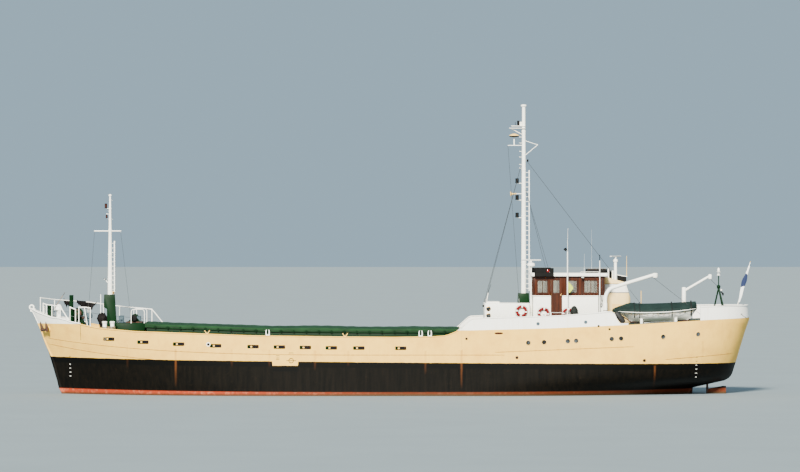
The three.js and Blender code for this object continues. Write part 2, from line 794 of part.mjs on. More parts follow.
function addHatch() {
  const { aft, fore, half, lap, cover } = HATCH;
  const topRun = (lift) =>
    spread(HATCH_TOP, aft, fore, 1e6)
      .reverse()
      .map((x) => [x, lineAt(HATCH_TOP, x) + lift]);
  const coaming = across([[aft, 2100], [fore, 2100], ...topRun(-cover)], -half, half);
  add("hatch_coaming", standing(coaming), "green");
  const crown = 70;
  const [edge, shoulder] = [half + lap, half - 150];
  const covers = spread(HATCH_TOP, aft - lap, fore + lap, 1e6).map((x) => {
    const z = lineAt(HATCH_TOP, x);
    const low = z - cover + GAP;
    return [
      [x, -edge, low],
      [x, edge, low],
      [x, edge, z - 40],
      [x, shoulder, z],
      [x, 0, z + crown],
      [x, -shoulder, z],
      [x, -edge, z - 40],
    ];
  });
  add("hatch_cover", ringTube(covers), "cover", 0.9, 0);
  const house = MAST_HOUSE;
  add("mast_house", standing(box(house.aft, house.fore, -house.half, house.half, 2200, house.top)), "green");
}

// A tabernacle: two cheeks of one side outline, and between them a solid foot and a plate to the height back.
function tabernacle(foot, outline, solidTop, plate, back) {
  const inside = foot + 21;
  const outside = inside + 40;
  const low = Math.min(...outline.map(([, z]) => z));
  const cheeks = [across(outline, inside, outside), across(outline, -outside, -inside)];
  const core = across(outline, -outside, outside);
  return join(
    cheeks,
    core.intersect(box(-WIDEST * 4, WIDEST * 4, -outside, outside, low, solidTop)),
    core.intersect(box(plate, plate + 40, -outside, outside, low, back)),
  );
}

// A pole with its pin, from heel to head.
function pole({ x, pin, heel, top, foot, head }) {
  return join(
    rod([x, 0, heel], [x, 0, pin + 300], foot, 12),
    rod([x, 0, pin + 300], [x, 0, top], foot, 12, head),
  );
}

// A ladder abaft a mast: two stiles joined by rungs, each held off the mast by an arm.
function mastLadder({ x, foot }, off, low, high, rungs) {
  const back = x - off;
  const stiles = [-LADDER_HALF, LADDER_HALF].map((y) => rod([back, y, low], [back, y, high], 16, 6));
  const steps = [];
  for (let i = 0; i < rungs; i++) {
    const z = low + 120 + ((high - low - 240) * i) / (rungs - 1);
    steps.push(rod([back, -LADDER_HALF, z], [back, LADDER_HALF, z], 12, 5));
    steps.push(rod([back, 0, z], [x - foot - GAP, 0, z], 14, 5));
  }
  return join(stiles, steps);
}

function addMasts() {
  const fore = FOREMAST;
  const foreFoot = lineAt(MAIN_DECK, fore.x) - 60;
  const foreCheek = [
    [fore.x - 385, foreFoot],
    [fore.x + 150, foreFoot],
    [fore.x + 150, 4240],
    [fore.x + 310, 4330],
    [fore.x + 290, fore.pin + 190],
    [fore.x - 230, fore.pin + 190],
  ];
  const foreCase = tabernacle(fore.foot, foreCheek, 4230, fore.x - 300, 4500);
  add("foremast_tabernacle", standing(foreCase), "green");
  const yardZ = 8150;
  add("foremast_ladder", mastLadder(fore, 215, 5100, 7650, 11), "white");
  add(
    "foremast",
    join(
      pole(fore),
      rod([fore.x - 550, 0, yardZ], [fore.x + 800, 0, yardZ], 32, 8),
      rod([fore.x, 0, 9300], [fore.x + 200, 0, 9300], 16, 6),
      box(fore.x + 150, fore.x + 270, -60, 60, 9280, 9460),
      rod([fore.x, 0, 5700], [fore.x + 260, 0, 5760], 20, 6),
      box(fore.x + 200, fore.x + 330, -70, 70, 5700, 5880),
      box(fore.x - fore.foot - 90, fore.x - fore.foot + 30, -60, 60, 4990, 5130),
    ),
    "white",
  );

  const main = MAINMAST;
  const mainFoot = FRONT_HOUSE.top + GAP;
  const mainCheek = [
    [main.x - 290, mainFoot],
    [main.x + 310, mainFoot],
    [main.x + 290, main.pin + 190],
    [main.x - 260, main.pin + 190],
  ];
  const mainCase = tabernacle(main.foot, mainCheek, mainFoot + 30, main.x + 240, mainFoot + 140);
  add("mainmast_tabernacle", mainCase, "green");
  add("mainmast_ladder", mastLadder(main, 275, 5150, 11200, 25), "white");
  const lampAt = (x, z, half, high) => [
    rod([main.x, 0, z], [x, 0, z], 20, 6),
    box(x - half, x + half, -half, half, z - 20, z + high),
  ];
  const stay = ([x0, z0], [x1, z1]) => rod([x0, 0, z0], [x1, 0, z1], 18, 6);
  add(
    "mainmast",
    join(
      pole(main),
      box(main.x - 60, main.x + 720, -190, 190, 13290, 13320),
      box(main.x - 60, main.x + 620, -160, 160, 13400, 13430),
      stay([main.x, 12950], [main.x + 640, 13300]),
      rod([main.x + 300, 0, 13300], [main.x + 300, 0, 13480], 40, 8),
      rod([main.x + 300, 0, 13460], [main.x + 300, 0, 13700], 95, 10),
      rod([main.x, 0, 12800], [main.x + 480, 0, 12800], 22, 6),
      rod([main.x + 480, 0, 12780], [main.x + 480, 0, 12880], 40, 8),
      rod([main.x + 480, 0, 12860], [main.x + 480, 0, 13040], 250, 14, 120),
      stay([main.x, 12440], [main.x + 790, 12440]),
      stay([main.x, 12700], [main.x - 700, 12470]),
      stay([main.x - 700, 12470], [main.x, 11880]),
      lampAt(main.x + 330, 10650, 70, 170),
      lampAt(main.x + 330, 8920, 70, 170),
      lampAt(main.x + 330, 9720, 70, 150),
      rod([main.x, 0, 10020], [main.x + 330, 0, 10020], 20, 6),
      rod([main.x + 300, 0, 10020], [main.x + 680, 0, 10000], 45, 10, 140),
    ),
    "white",
  );
}

function addFrontHouse() {
  const { aft, fore, half, top, corner } = FRONT_HOUSE;
  const low = lineAt(POOP_DECK, fore) - 60;
  add("poop_front_house", standing(upward(roundedBox(aft, fore, -half, half, corner), low, top)), "white");
}

// The opening of a window.
const paneCut = (x0, x1, y0, y1) => box(x0, x1, y0, y1, PANE.low, PANE.high);

function addDeckhouse() {
  const { aft, fore, half, floor, sill, top, wall } = HOUSE;
  const inner = box(aft + wall, fore - wall, -half + wall, half - wall, floor, sill + 100);
  const doorway = (y0, y1) =>
    box(DOOR.aft - DOOR.room, DOOR.fore + DOOR.room, y0, y1, DOOR.low - DOOR.room, DOOR.high + DOOR.room);
  const doorways = [doorway(half - wall - 50, half + 50), doorway(-half - 50, -half + wall + 50)];
  const steel = box(aft, fore, -half, half, lineAt(POOP_DECK, aft) - 300, sill);
  add("deckhouse", standing(cut(steel, inner, doorways)), "white");

  const low = sill + GAP;
  const sideWall = cut(
    box(aft, fore, half - wall, half, low, top),
    SIDE_WINDOWS.map(([x0, x1]) => paneCut(x0, x1, half - 200, half + 200)),
    doorways,
  );
  add("wheelhouse_side_port", sideWall, "wood", 0.45, 0);
  add("wheelhouse_side_starboard", mirrored(sideWall), "wood", 0.45, 0);
  const inside = half - wall - GAP;
  const endWall = (x0, x1, windows) =>
    cut(
      box(x0, x1, -inside, inside, low, top),
      windows.map((y) => paneCut(x0 - 50, x1 + 50, y - WINDOW_HALF, y + WINDOW_HALF)),
    );
  add("wheelhouse_front", endWall(fore - wall, fore, FRONT_WINDOWS), "wood", 0.45, 0);
  add("wheelhouse_back", endWall(aft, aft + wall, AFT_WINDOWS), "wood", 0.45, 0);

  const leaf = cut(
    box(DOOR.aft, DOOR.fore, half - DOOR.thick, half, DOOR.low, DOOR.high),
    box(DOOR.aft + 140, DOOR.fore - 120, half - 100, half + 100, PANE.low, PANE.high),
  );
  add("door_port", leaf, "wood", 0.45, 0);
  add("door_starboard", mirrored(leaf), "wood", 0.45, 0);

  const roof = upward(roundedBox(ROOF.aft, ROOF.fore, -ROOF.half, ROOF.half, 120), top + GAP, ROOF.top);
  const { x, y, postR } = RADAR_FORE;
  const postHole = rod([x, y, top - 50], [x, y, ROOF.top + 50], postR + RUNNING, 12);
  add("wheelhouse_roof", roof.subtract(postHole), "white");
}

// Steering stand inside the wheelhouse: a console with a spoked wheel on its after face.
function addHelm() {
  const x = HOUSE.fore - 500;
  const hub = [x - 260, 0, HOUSE.floor + 930];
  const rim = new THREE.TorusGeometry(330, 24, 6, 16).rotateY(Math.PI / 2).translate(...hub);
  const spokes = [0, 1, 2].map((i) => {
    const [dy, dz] = [Math.cos((i * Math.PI) / 3) * 420, Math.sin((i * Math.PI) / 3) * 420];
    return rod([hub[0], -dy, hub[2] - dz], [hub[0], dy, hub[2] + dz], 16, 5);
  });
  const console = box(x - 130, x + 200, -420, 420, HOUSE.floor + GAP, HOUSE.floor + 1050);
  add("helm", join(console, toSolid(rim), spokes, rod([x, 0, hub[2]], [x - 290, 0, hub[2]], 45, 8)), "wood");
}

// The sidelights and the box on the wheelhouse roof, and the floodlight's pole beside it.
function addRoofPieces() {
  const roof = ROOF.top + GAP;
  const board = join(
    box(-8160, -7200, ROOF.half - 160, ROOF.half - 130, roof, roof + 260),
    box(-8160, -7200, ROOF.half - 160, ROOF.half + 90, roof, roof + 30),
    box(-8160, -8130, ROOF.half - 160, ROOF.half + 90, roof, roof + 260),
    rod([-7900, ROOF.half - 20, roof + 20], [-7900, ROOF.half - 20, roof + 200], 70, 10),
  );
  add("sidelight_port", board, "black");
  add("sidelight_starboard", mirrored(board), "black");
  add("roof_box", box(-10860, -9850, -650, 650, roof, roof + 200), "black");

  const { x, y, r, top, lamp } = LAMP_POLE;
  const foot = lineAt(POOP_DECK, x) - SUNK;
  const pole = join(
    rod([x, y, foot], [x, y, top - 80], r, 8),
    rod([x, y, foot], [x, y, foot + SUNK + 40], 90, 8),
    box(x - lamp, x + lamp, y - lamp, y + lamp, top - 180, top),
  );
  add("floodlight_pole", standing(pole), "white");
}

// A radar: post with a drive box on top, and the bar that turns above it.
function addRadar(name, { x, y, postR, postTop, headR, headHigh, turned }, foot, footSolid) {
  const { long, wide, high, lift } = RADAR_BAR;
  const headTop = postTop + headHigh;
  const head = rod([x, y, postTop], [x, y, headTop], headR, 12, headR * 0.8);
  add(`${name}_post`, footSolid(join(rod([x, y, foot], [x, y, postTop + 20], postR, 8), head)), "white");
  const beam = new THREE.BoxGeometry(long, wide, high)
    .rotateZ(THREE.MathUtils.degToRad(turned))
    .translate(x, y, headTop + lift);
  const neck = rod([x, y, headTop + RUNNING], [x, y, headTop + lift], 45, 10);
  add(`${name}_scanner`, join(toSolid(beam), neck), "white");
}

function addFunnel() {
  const { fore, aft, half, corner } = FUNNEL;
  const low = lineAt(POOP_DECK, fore) - 100;
  const tube = upward(roundedBox(aft, fore, -half, half, corner), low, 6000);
  const sideOutline = [
    [aft, low - 100],
    [fore, low - 100],
    [fore, 5880],
    [aft + 340, 5610],
    [aft + 210, 5430],
    [aft, 4780],
  ];
  const holes = EXHAUSTS.map(([x, y, r]) => rod([x, y, 5400], [x, y, 6300], r + GAP, 12));
  const postHole = rod([RADAR_AFT.x, 0, 5400], [RADAR_AFT.x, 0, 6300], RADAR_AFT.postR + GAP, 8);
  const shaped = tube.intersect(across(sideOutline, -900, 900));
  add("funnel", standing(cut(shaped, holes, postHole)), "cream");
  const bores = EXHAUSTS.map(([x, y, r, top]) => rod([x, y, top - 250], [x, y, top + 50], r - 15, 12));
  const pipes = EXHAUSTS.map(([x, y, r, top]) => rod([x, y, 5400 + GAP], [x, y, top], r, 12));
  const strap = rod([EXHAUSTS[0][0], EXHAUSTS[0][1], 5930], [EXHAUSTS[1][0], EXHAUSTS[1][1], 5930], 25, 6);
  add("exhaust_pipes", cut(join(pipes, strap), bores), "black");
}

// A double-ended boat form: rings at heights, each with shares of its length aft and forward and of its beam,
// and rising ends.
function boatForm(rows, sheer) {
  const middle = (BOAT.aft + BOAT.fore) / 2;
  const halfLength = (BOAT.fore - BOAT.aft) / 2;
  const steps = 12;
  const rings = rows.map(([z, aftShare, foreShare, beamShare, rise]) => {
    const side = [];
    for (let i = 0; i <= steps; i++) {
      const u = -Math.cos((Math.PI * i) / steps);
      const width = Math.max(12, BOAT.half * beamShare * (1 - Math.abs(u) ** 2.3) ** 0.75);
      const reach = halfLength * (u < 0 ? aftShare : foreShare);
      side.push([middle + reach * u, width, z + sheer * rise * u * u - BOAT_TRIM * reach * u]);
    }
    const port = side.map(([x, width, height]) => [x, BOAT.y + width, height]);
    const starboard = side.map(([x, width, height]) => [x, BOAT.y - width, height]).reverse();
    return [...port, ...starboard];
  });
  return ringTube(rings, true);
}

const BOAT_ROWS = [
  // z, length share aft and forward, beam share, share of the sheer
  [3660, 0.8, 0.56, 0.06, 0.2],
  [3710, 0.85, 0.6, 0.34, 0.3],
  [3840, 0.91, 0.7, 0.72, 0.6],
  [4000, 0.96, 0.86, 0.94, 0.9],
  [4150, 1.0, 1.0, 1.0, 1.0],
];
const COVER_ROWS = [
  [4150 + GAP, 1.0, 1.0, 1.0, 1.0],
  [4175, 1.015, 1.02, 1.0, 1.0],
  [4240, 1.01, 0.98, 0.97, 1.0],
  [4370, 1.0, 0.84, 0.66, 0.9],
  [4490, 0.985, 0.68, 0.3, 0.6],
  [4560, 0.97, 0.57, 0.06, 0.3],
];
const BOAT_SHEER = 130;
const BOAT_TRIM = 0.03;
const CHOCKS = [-12500, -14200];

function addBoat() {
  const hull = boatForm(BOAT_ROWS, BOAT_SHEER);
  add("lifeboat", hull, "white");
  add("lifeboat_cover", boatForm(COVER_ROWS, BOAT_SHEER), "cover", 0.9, 0);
  const roomRows = BOAT_ROWS.map(([z, aft, fore, beam, rise]) => [z - GAP, aft, fore, beam + 0.02, rise]);
  const room = boatForm(roomRows, BOAT_SHEER);
  const profile = [
    [BOAT.y - 420, 3400],
    [BOAT.y + 420, 3400],
    [BOAT.y + 420, 3860],
    [BOAT.y - 420, 3860],
  ];
  const blocks = CHOCKS.map((at) => lengthwise(profile, at - 60, at + 60));
  const side = [
    [CHOCKS[1], 3400],
    [CHOCKS[0], 3400],
    [CHOCKS[0], 3600],
    [CHOCKS[1], 3735],
  ];
  const plank = across(side, BOAT.y - 90, BOAT.y + 90);
  add("boat_chocks", cut(standing(join(blocks, plank)), room), "wood");
}

function addDavits() {
  for (const [name, radius, , x, y, top, pillarR, pillarTop, arm] of DAVITS) {
    const tip = arm[arm.length - 1];
    const pillar = rod([x, y, top + RUNNING], [x, y, pillarTop], pillarR, 8);
    const head = rod([tip[0], tip[1], tip[2] - 160], [tip[0], tip[1], tip[2] + radius], radius * 1.35, 8);
    add(name, join(bentTube(arm, radius, 8, 18), pillar, head), "white", 0.5, 0.2);
  }
}

function addSternPieces() {
  const frameX = -16500;
  const knob = 5300;
  const deck = lineAt(POOP_DECK, frameX);
  const legs = [
    [-345, -480],
    [-345, 480],
    [345, 0],
  ].map(([dx, dy]) => rod([frameX + dx, dy, deck - 40], [frameX, 0, knob], 45, 8));
  const stand = join(
    legs,
    rod([frameX, 0, knob - 60], [frameX, 0, knob + 90], 75, 8),
    rod([frameX, 0, knob], [frameX, 0, 5960], 28, 8),
    rod([frameX, 0, 5930], [frameX, 0, 6150], 95, 10),
    rod([frameX, 0, 6130], [frameX, 0, 6310], 60, 10),
  );
  add("stern_light_stand", standing(stand), "green");

  const staffX = -17260;
  const staffFoot = [staffX, 0, lineAt(POOP_DECK, staffX) - 40];
  const staffHead = [-18090, 0, 6600];
  add("ensign_staff", standing(rod(staffFoot, staffHead, 26, 8, 18)), "wood");
  const furled = [
    [-18020, 95, 6350],
    [-17890, 110, 5900],
    [-17750, 105, 5450],
    [-17570, 95, 4850],
  ];
  add("ensign", bentTube(furled, 60, 8, 8), "blue");
}

addHull();
addBulwarks();
addBowRails();
addSteering();
addAnchors();
addWindlass();
addBowFittings();
addBitts();
addCargoWinch();
addHatch();
addMasts();
addFrontHouse();
addDeckhouse();
addHelm();
addRoofPieces();
addRadar("radar_fore", RADAR_FORE, lineAt(POOP_DECK, RADAR_FORE.x) - 40, standing);
addRadar("radar_aft", RADAR_AFT, 5400 + GAP, (body) => body);
addFunnel();
addBoat();
addDavits();
addSternPieces();

export default group;
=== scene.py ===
import bisect
from math import asin, atan2, copysign, cos, exp, pi, radians, sin

import bmesh
import bpy
from mathutils import Matrix, Vector, noise


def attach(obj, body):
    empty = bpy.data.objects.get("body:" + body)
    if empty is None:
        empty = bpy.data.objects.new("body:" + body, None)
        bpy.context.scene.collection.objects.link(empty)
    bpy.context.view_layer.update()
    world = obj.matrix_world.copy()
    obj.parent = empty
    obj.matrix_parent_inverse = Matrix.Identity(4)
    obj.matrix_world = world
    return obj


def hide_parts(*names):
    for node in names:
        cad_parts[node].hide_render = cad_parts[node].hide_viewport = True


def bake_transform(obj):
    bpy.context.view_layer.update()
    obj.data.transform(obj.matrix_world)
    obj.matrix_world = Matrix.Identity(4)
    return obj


# A small motor coaster afloat and light. Metres: +X forward, +Y to port, +Z up, z is 0 at the waterline.
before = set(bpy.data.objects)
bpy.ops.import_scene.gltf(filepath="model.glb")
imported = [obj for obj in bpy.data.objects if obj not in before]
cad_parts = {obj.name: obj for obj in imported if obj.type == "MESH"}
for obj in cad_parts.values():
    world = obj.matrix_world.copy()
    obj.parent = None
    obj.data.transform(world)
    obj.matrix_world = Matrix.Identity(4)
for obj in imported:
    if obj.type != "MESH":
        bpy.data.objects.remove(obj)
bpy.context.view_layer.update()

# The camera: the picture's width in pixels, its scale at the centreline, and where the camera stands.
PICTURE_WIDTH = 800
PIXELS_A_METRE = 19.95
CAMERA = {"x": -0.53, "away": 220.0, "z": 7.9}
SENSOR = 36.0

seen = bpy.data.cameras.new("camera")
seen.sensor_width = SENSOR
seen.lens = PIXELS_A_METRE * CAMERA["away"] / PICTURE_WIDTH * SENSOR
seen.clip_start, seen.clip_end = 10.0, 3000.0
camera = bpy.data.objects.new("camera", seen)
camera.location = (CAMERA["x"], CAMERA["away"], CAMERA["z"])
camera.rotation_euler = (pi / 2, 0, pi)
bpy.context.scene.collection.objects.link(camera)
bpy.context.scene.camera = camera

# Hull rows from the keel up: height, share of the keel's rake, aft end, stem, half breadth, then the run
# aft as where it starts, its power and its fullness, and the same three for the run forward.
WATERLINES = [
    (-1.555, 1.0, -15.0, 14.7, 2.3, 1.0, 1.7, 1.7, 2.0, 2.0, 1.7),
    (-1.4, 1.0, -15.0, 15.1, 2.9, 0.5, 1.8, 1.5, 2.0, 2.2, 1.5),
    (-1.05, 0.7, -15.0, 15.7, 3.33, -0.5, 2.0, 1.3, 2.2, 2.5, 1.3),
    (-0.5, 0.3, -15.0, 16.1, 3.42, -1.5, 2.3, 1.15, 2.5, 2.8, 1.18),
    (0.0, 0.0, -15.0, 16.38, 3.45, -3.0, 2.6, 1.0, 3.0, 3.0, 1.1),
    (0.31, 0.0, -15.17, 16.54, 3.45, -3.5, 2.9, 0.9, 3.2, 3.05, 1.07),
    (0.47, 0.0, -15.8, 16.58, 3.45, -4.0, 2.95, 0.85, 3.3, 3.1, 1.05),
    (0.66, 0.0, -16.75, 16.62, 3.45, -4.5, 3.1, 0.75, 3.4, 3.15, 1.03),
    (0.9, 0.0, -17.08, 16.68, 3.45, -4.8, 3.5, 0.62, 3.5, 3.2, 1.0),
    (1.6, 0.0, -17.306, 16.84, 3.45, -5.3, 4.0, 0.5, 3.9, 3.4, 0.94),
    (2.55, 0.0, -17.605, 17.23, 3.45, -6.0, 4.4, 0.46, 4.5, 3.7, 0.87),
    (3.27, 0.0, -17.83, 17.5, 3.45, -6.0, 4.5, 0.45, 4.8, 3.9, 0.82),
    (3.81, 0.0, -18.0, 17.75, 3.45, -6.0, 4.5, 0.45, 5.0, 4.0, 0.8),
    (4.6, 0.0, -17.93, 18.13, 3.45, -6.0, 4.5, 0.45, 5.2, 4.1, 0.78),
]
KEEL_RAKE = 0.0138
KEEL_HALF = 0.08

# Deck and rail lines along the ship's side, x and z.
POOP_BREAK = -3.58
FORE_BREAK = 15.35
POOP_DECK = [(-18.3, 3.84), (-15.67, 3.74), (-11.56, 3.5), (-7.92, 3.34), (POOP_BREAK, 3.23)]
MAIN_DECK = [
    (POOP_BREAK, 2.25), (-0.23, 2.22), (3.33, 2.25), (6.9, 2.3),
    (9.54, 2.4), (12.6, 2.5), (14.16, 2.63), (FORE_BREAK, 2.72),
]
FORE_DECK = 3.5
BULWARK_TOP = [
    (POOP_BREAK, 3.42), (-3.32, 3.2), (-2.8, 3.0), (-2.18, 2.95), (-0.23, 2.92), (3.33, 2.95), (6.9, 3.0),
    (9.54, 3.1), (12.6, 3.2), (14.16, 3.33), (14.5, 3.37), (FORE_BREAK - 0.02, 3.53),
]
POOP_BULWARK_TOP = [
    (-11.35, 3.59), (-11.07, 4.17), (-10.8, 4.17), (-8.57, 3.99),
    (-6.97, 3.93), (-4.73, 3.87), (-4.06, 3.84), (POOP_BREAK - 0.005, 3.43),
]
STERN_BULWARK_TOP = [(-18.3, 4.47), (-15.4, 4.42)]
BOW_BULWARK_TOP = [
    (FORE_BREAK + 0.005, 3.58), (15.86, 3.66), (16.07, 3.74), (16.45, 3.83),
    (16.9, 3.88), (17.1, 3.95), (17.48, 4.07), (18.13, 4.36),
]

# Forms: each is a list of points and a list of faces, and a tube also has a wrap for each face.


def tube(path, radius, sides=12, closed=False):
    """A round bar along a path, of one radius or one for each point. Its wrap is turns and metres."""
    path = [Vector(point) for point in path]
    count = len(path)
    radii = radius if hasattr(radius, "__len__") else [radius] * count
    ways = []
    for i in range(count):
        before = path[i - 1] if closed or i else path[i]
        after = path[(i + 1) % count] if closed or i < count - 1 else path[i]
        ways.append((after - before).normalized())
    side = ways[0].orthogonal().normalized()
    points, lengths = [], [0.0]
    for i, way in enumerate(ways):
        side = (side - way * side.dot(way)).normalized()
        up = way.cross(side)
        for j in range(sides):
            turn = 2 * pi * j / sides
            points.append(path[i] + (side * cos(turn) + up * sin(turn)) * radii[i])
        lengths.append(lengths[-1] + (path[(i + 1) % count] - path[i]).length)
    faces, wraps = [], []
    for i in range(count if closed else count - 1):
        here, there = i * sides, ((i + 1) % count) * sides
        for j in range(sides):
            k = (j + 1) % sides
            faces.append([here + j, here + k, there + k, there + j])
            low, high, near, far = j / sides, (j + 1) / sides, lengths[i], lengths[i + 1]
            wraps.append([(low, near), (high, near), (high, far), (low, far)])
    if not closed:
        for face in (list(range(sides)), list(range((count - 1) * sides, count * sides))):
            faces.append(face)
            wraps.append([(0.0, 0.0)] * sides)
    return points, faces, wraps


def bent(corners, radius=0.08, steps=5):
    """A path through corners, each corner rounded."""
    corners = [Vector(corner) for corner in corners]
    path = [corners[0]]
    for before, corner, after in zip(corners, corners[1:], corners[2:]):
        reach = min(radius, (before - corner).length * 0.45, (after - corner).length * 0.45)
        start = corner + (before - corner).normalized() * reach
        end = corner + (after - corner).normalized() * reach
        for i in range(steps + 1):
            t = i / steps
            path.append(start * (1 - t) ** 2 + corner * 2 * t * (1 - t) + end * t * t)
    return path + [corners[-1]]


def circle(centre, radius, across=(1, 0, 0), up=(0, 0, 1), count=24):
    """Points round a circle in the plane of across and up."""
    across, up = Vector(across).normalized(), Vector(up).normalized()
    turns = [2 * pi * i / count for i in range(count)]
    return [Vector(centre) + (across * cos(t) + up * sin(t)) * radius for t in turns]


def hoop(centre, radius, bar, sides=6, count=14, flat=False):
    """A round bar bent to a ring, upright along the ship or lying flat."""
    up = (0, 1, 0) if flat else (0, 0, 1)
    return tube(circle(centre, radius, (1, 0, 0), up, count), bar, sides, True)


def turned(profile, foot=(0, 0, 0), way=(0, 0, 1), sides=20):
    """A form turned about a line from foot along way: profile holds pairs of radius and height."""
    way = Vector(way).normalized()
    side = way.orthogonal().normalized()
    up = way.cross(side)
    points, rings = [], []
    for radius, height in profile:
        centre = Vector(foot) + way * height
        if radius < 1e-6:
            rings.append([len(points)])
            points.append(centre)
            continue
        rings.append(list(range(len(points), len(points) + sides)))
        for j in range(sides):
            turn = 2 * pi * j / sides
            points.append(centre + (side * cos(turn) + up * sin(turn)) * radius)
    faces = [list(ring) for ring in (rings[0], rings[-1]) if len(ring) > 1]
    for low, high in zip(rings, rings[1:]):
        for j in range(sides):
            k = (j + 1) % sides
            corners = [low[j % len(low)], low[k % len(low)], high[k % len(high)], high[j % len(high)]]
            faces.append(list(dict.fromkeys(corners)))
    return points, [face for face in faces if len(face) > 2]


def ring_form(profile, foot=(0, 0, 0), way=(0, 0, 1), sides=24):
    """A turned form whose profile closes on itself, such as a hoop."""
    points, faces = turned(profile, foot, way, sides)
    faces = faces[2:]
    last = (len(profile) - 1) * sides
    for j in range(sides):
        k = (j + 1) % sides
        faces.append([last + j, last + k, k, j])
    return points, faces


def ball(centre, radius, sides=12):
    """A ball, six bands high."""
    profile = [(radius * sin(pi * i / 6), -radius * cos(pi * i / 6)) for i in range(7)]
    return turned(profile, centre, sides=sides)


def block(low, high, edge=0.006):
    """A box with chamfered edges."""
    low, high = Vector(map(min, low, high)), Vector(map(max, low, high))
    middle, half = (low + high) / 2, (high - low) / 2
    edge = min(edge, min(half) * 0.6)
    pairs = [(-1, -1), (1, -1), (1, 1), (-1, 1)]
    index, points = {}, []
    for corner in [(x, y, z) for x in (-1, 1) for y in (-1, 1) for z in (-1, 1)]:
        for axis in range(3):
            reach = [half[k] - (0 if k == axis else edge) for k in range(3)]
            index[corner, axis] = len(points)
            points.append(middle + Vector([corner[k] * reach[k] for k in range(3)]))

    def at(axis, sign, first, second):
        """The corner at a sign of one axis and the two signs of the others."""
        others = iter((first, second))
        return tuple(sign if k == axis else next(others) for k in range(3))

    faces = [[index[corner, axis] for axis in range(3)] for corner, first in index if first == 0]
    for axis in range(3):
        u, v = [k for k in range(3) if k != axis]
        for sign in (-1, 1):
            faces.append([index[at(axis, sign, a, b), axis] for a, b in pairs])
        for a, b in pairs:
            back, front = at(axis, -1, a, b), at(axis, 1, a, b)
            faces.append([index[back, u], index[back, v], index[front, v], index[front, u]])
    return points, faces


def prism(outline, low, high, axis="y"):
    """A flat outline carried along an axis. Its two numbers are the other two axes, in their order."""
    place = {
        "x": lambda u, v, w: (w, u, v), "y": lambda u, v, w: (u, w, v), "z": lambda u, v, w: (u, v, w)
    }[axis]
    count = len(outline)
    points = [Vector(place(u, v, w)) for w in (low, high) for u, v in outline]
    faces = [
        list(range(count)), list(range(count, 2 * count)),
        *[[i, (i + 1) % count, count + (i + 1) % count, count + i] for i in range(count)],
    ]
    return points, faces


def loft(rings, capped=True, closed=False):
    """A skin through rings of points. Capped ends are single faces."""
    count = len(rings[0])
    points = [Vector(point) for ring in rings for point in ring]
    faces = []
    for r in range(len(rings) if closed else len(rings) - 1):
        here, there = r * count, ((r + 1) % len(rings)) * count
        for i in range(count):
            j = (i + 1) % count
            faces.append([here + i, here + j, there + j, there + i])
    if capped and not closed:
        faces += [list(range(count)), list(range(len(points) - count, len(points)))]
    return points, faces


def rounded_outline(x0, x1, y0, y1, corner, steps=5):
    """A rectangle with round corners."""
    points = []
    centres = [
        (x1 - corner, y1 - corner), (x0 + corner, y1 - corner), (x0 + corner, y0 + corner),
        (x1 - corner, y0 + corner),
    ]
    for quarter, (cx, cy) in enumerate(centres):
        for i in range(steps + 1):
            turn = (quarter + i / steps) * pi / 2
            points.append((cx + corner * cos(turn), cy + corner * sin(turn)))
    return points


def of(finish, *forms):
    """The forms, each with the one finish."""
    return [(form, finish) for form in forms]


def placed(form, matrix):
    """The form moved and turned by a matrix."""
    return ([matrix @ point for point in form[0]], *form[1:])


def mirrored(form):
    """The same form on the other side of the centreline."""
    points = [Vector((p.x, -p.y, p.z)) for p in form[0]]
    faces = [list(reversed(face)) for face in form[1]]
    return (points, faces, *([[list(reversed(wrap)) for wrap in form[2]]] if len(form) > 2 else []))


def both_sides(parts):
    """The port side's parts and their mirror images."""
    return parts + [(mirrored(form), finish) for form, finish in parts]


# Points closer than this are one point.
SEAM = 0.00001
SIDES = {"port": 1, "starboard": -1}
TURNS = {"port": lambda form: form, "starboard": mirrored}


def placed_in_scene(name, data):
    """An object of the scene that shows a mesh or a lamp."""
    made = bpy.data.objects.new(name, data)
    bpy.context.scene.collection.objects.link(made)
    return made


def finished(made):
    """Turns an object with modifiers into one with a plain mesh."""
    mesh = bpy.data.meshes.new_from_object(made.evaluated_get(bpy.context.evaluated_depsgraph_get()))
    made.modifiers.clear()
    made.data = mesh
    return made


def smoothed(made, sharp):
    """Shades an object smooth, save at edges sharper than so many degrees."""
    made.data.shade_smooth()
    made.data.set_sharp_from_angle(angle=radians(sharp))


def joined(forms):
    """The points of several forms in one list, and their faces in another."""
    points, faces = [], []
    for form in forms:
        faces += [[len(points) + i for i in face] for face in form[1]]
        points += form[0]
    return points, faces


def close_up(mesh, seam=None):
    """Makes points that lie together one, and turns the faces outwards."""
    shell = bmesh.new()
    shell.from_mesh(mesh)
    if seam:
        bmesh.ops.remove_doubles(shell, verts=shell.verts, dist=seam)
    bmesh.ops.recalc_face_normals(shell, faces=shell.faces)
    shell.to_mesh(mesh)
    shell.free()


def make_plain(name, forms):
    """A bare object from several forms, for use as a tool."""
    mesh = bpy.data.meshes.new(name)
    points, faces = joined(forms)
    mesh.from_pydata(points, [], faces)
    close_up(mesh)
    return placed_in_scene(name, mesh)


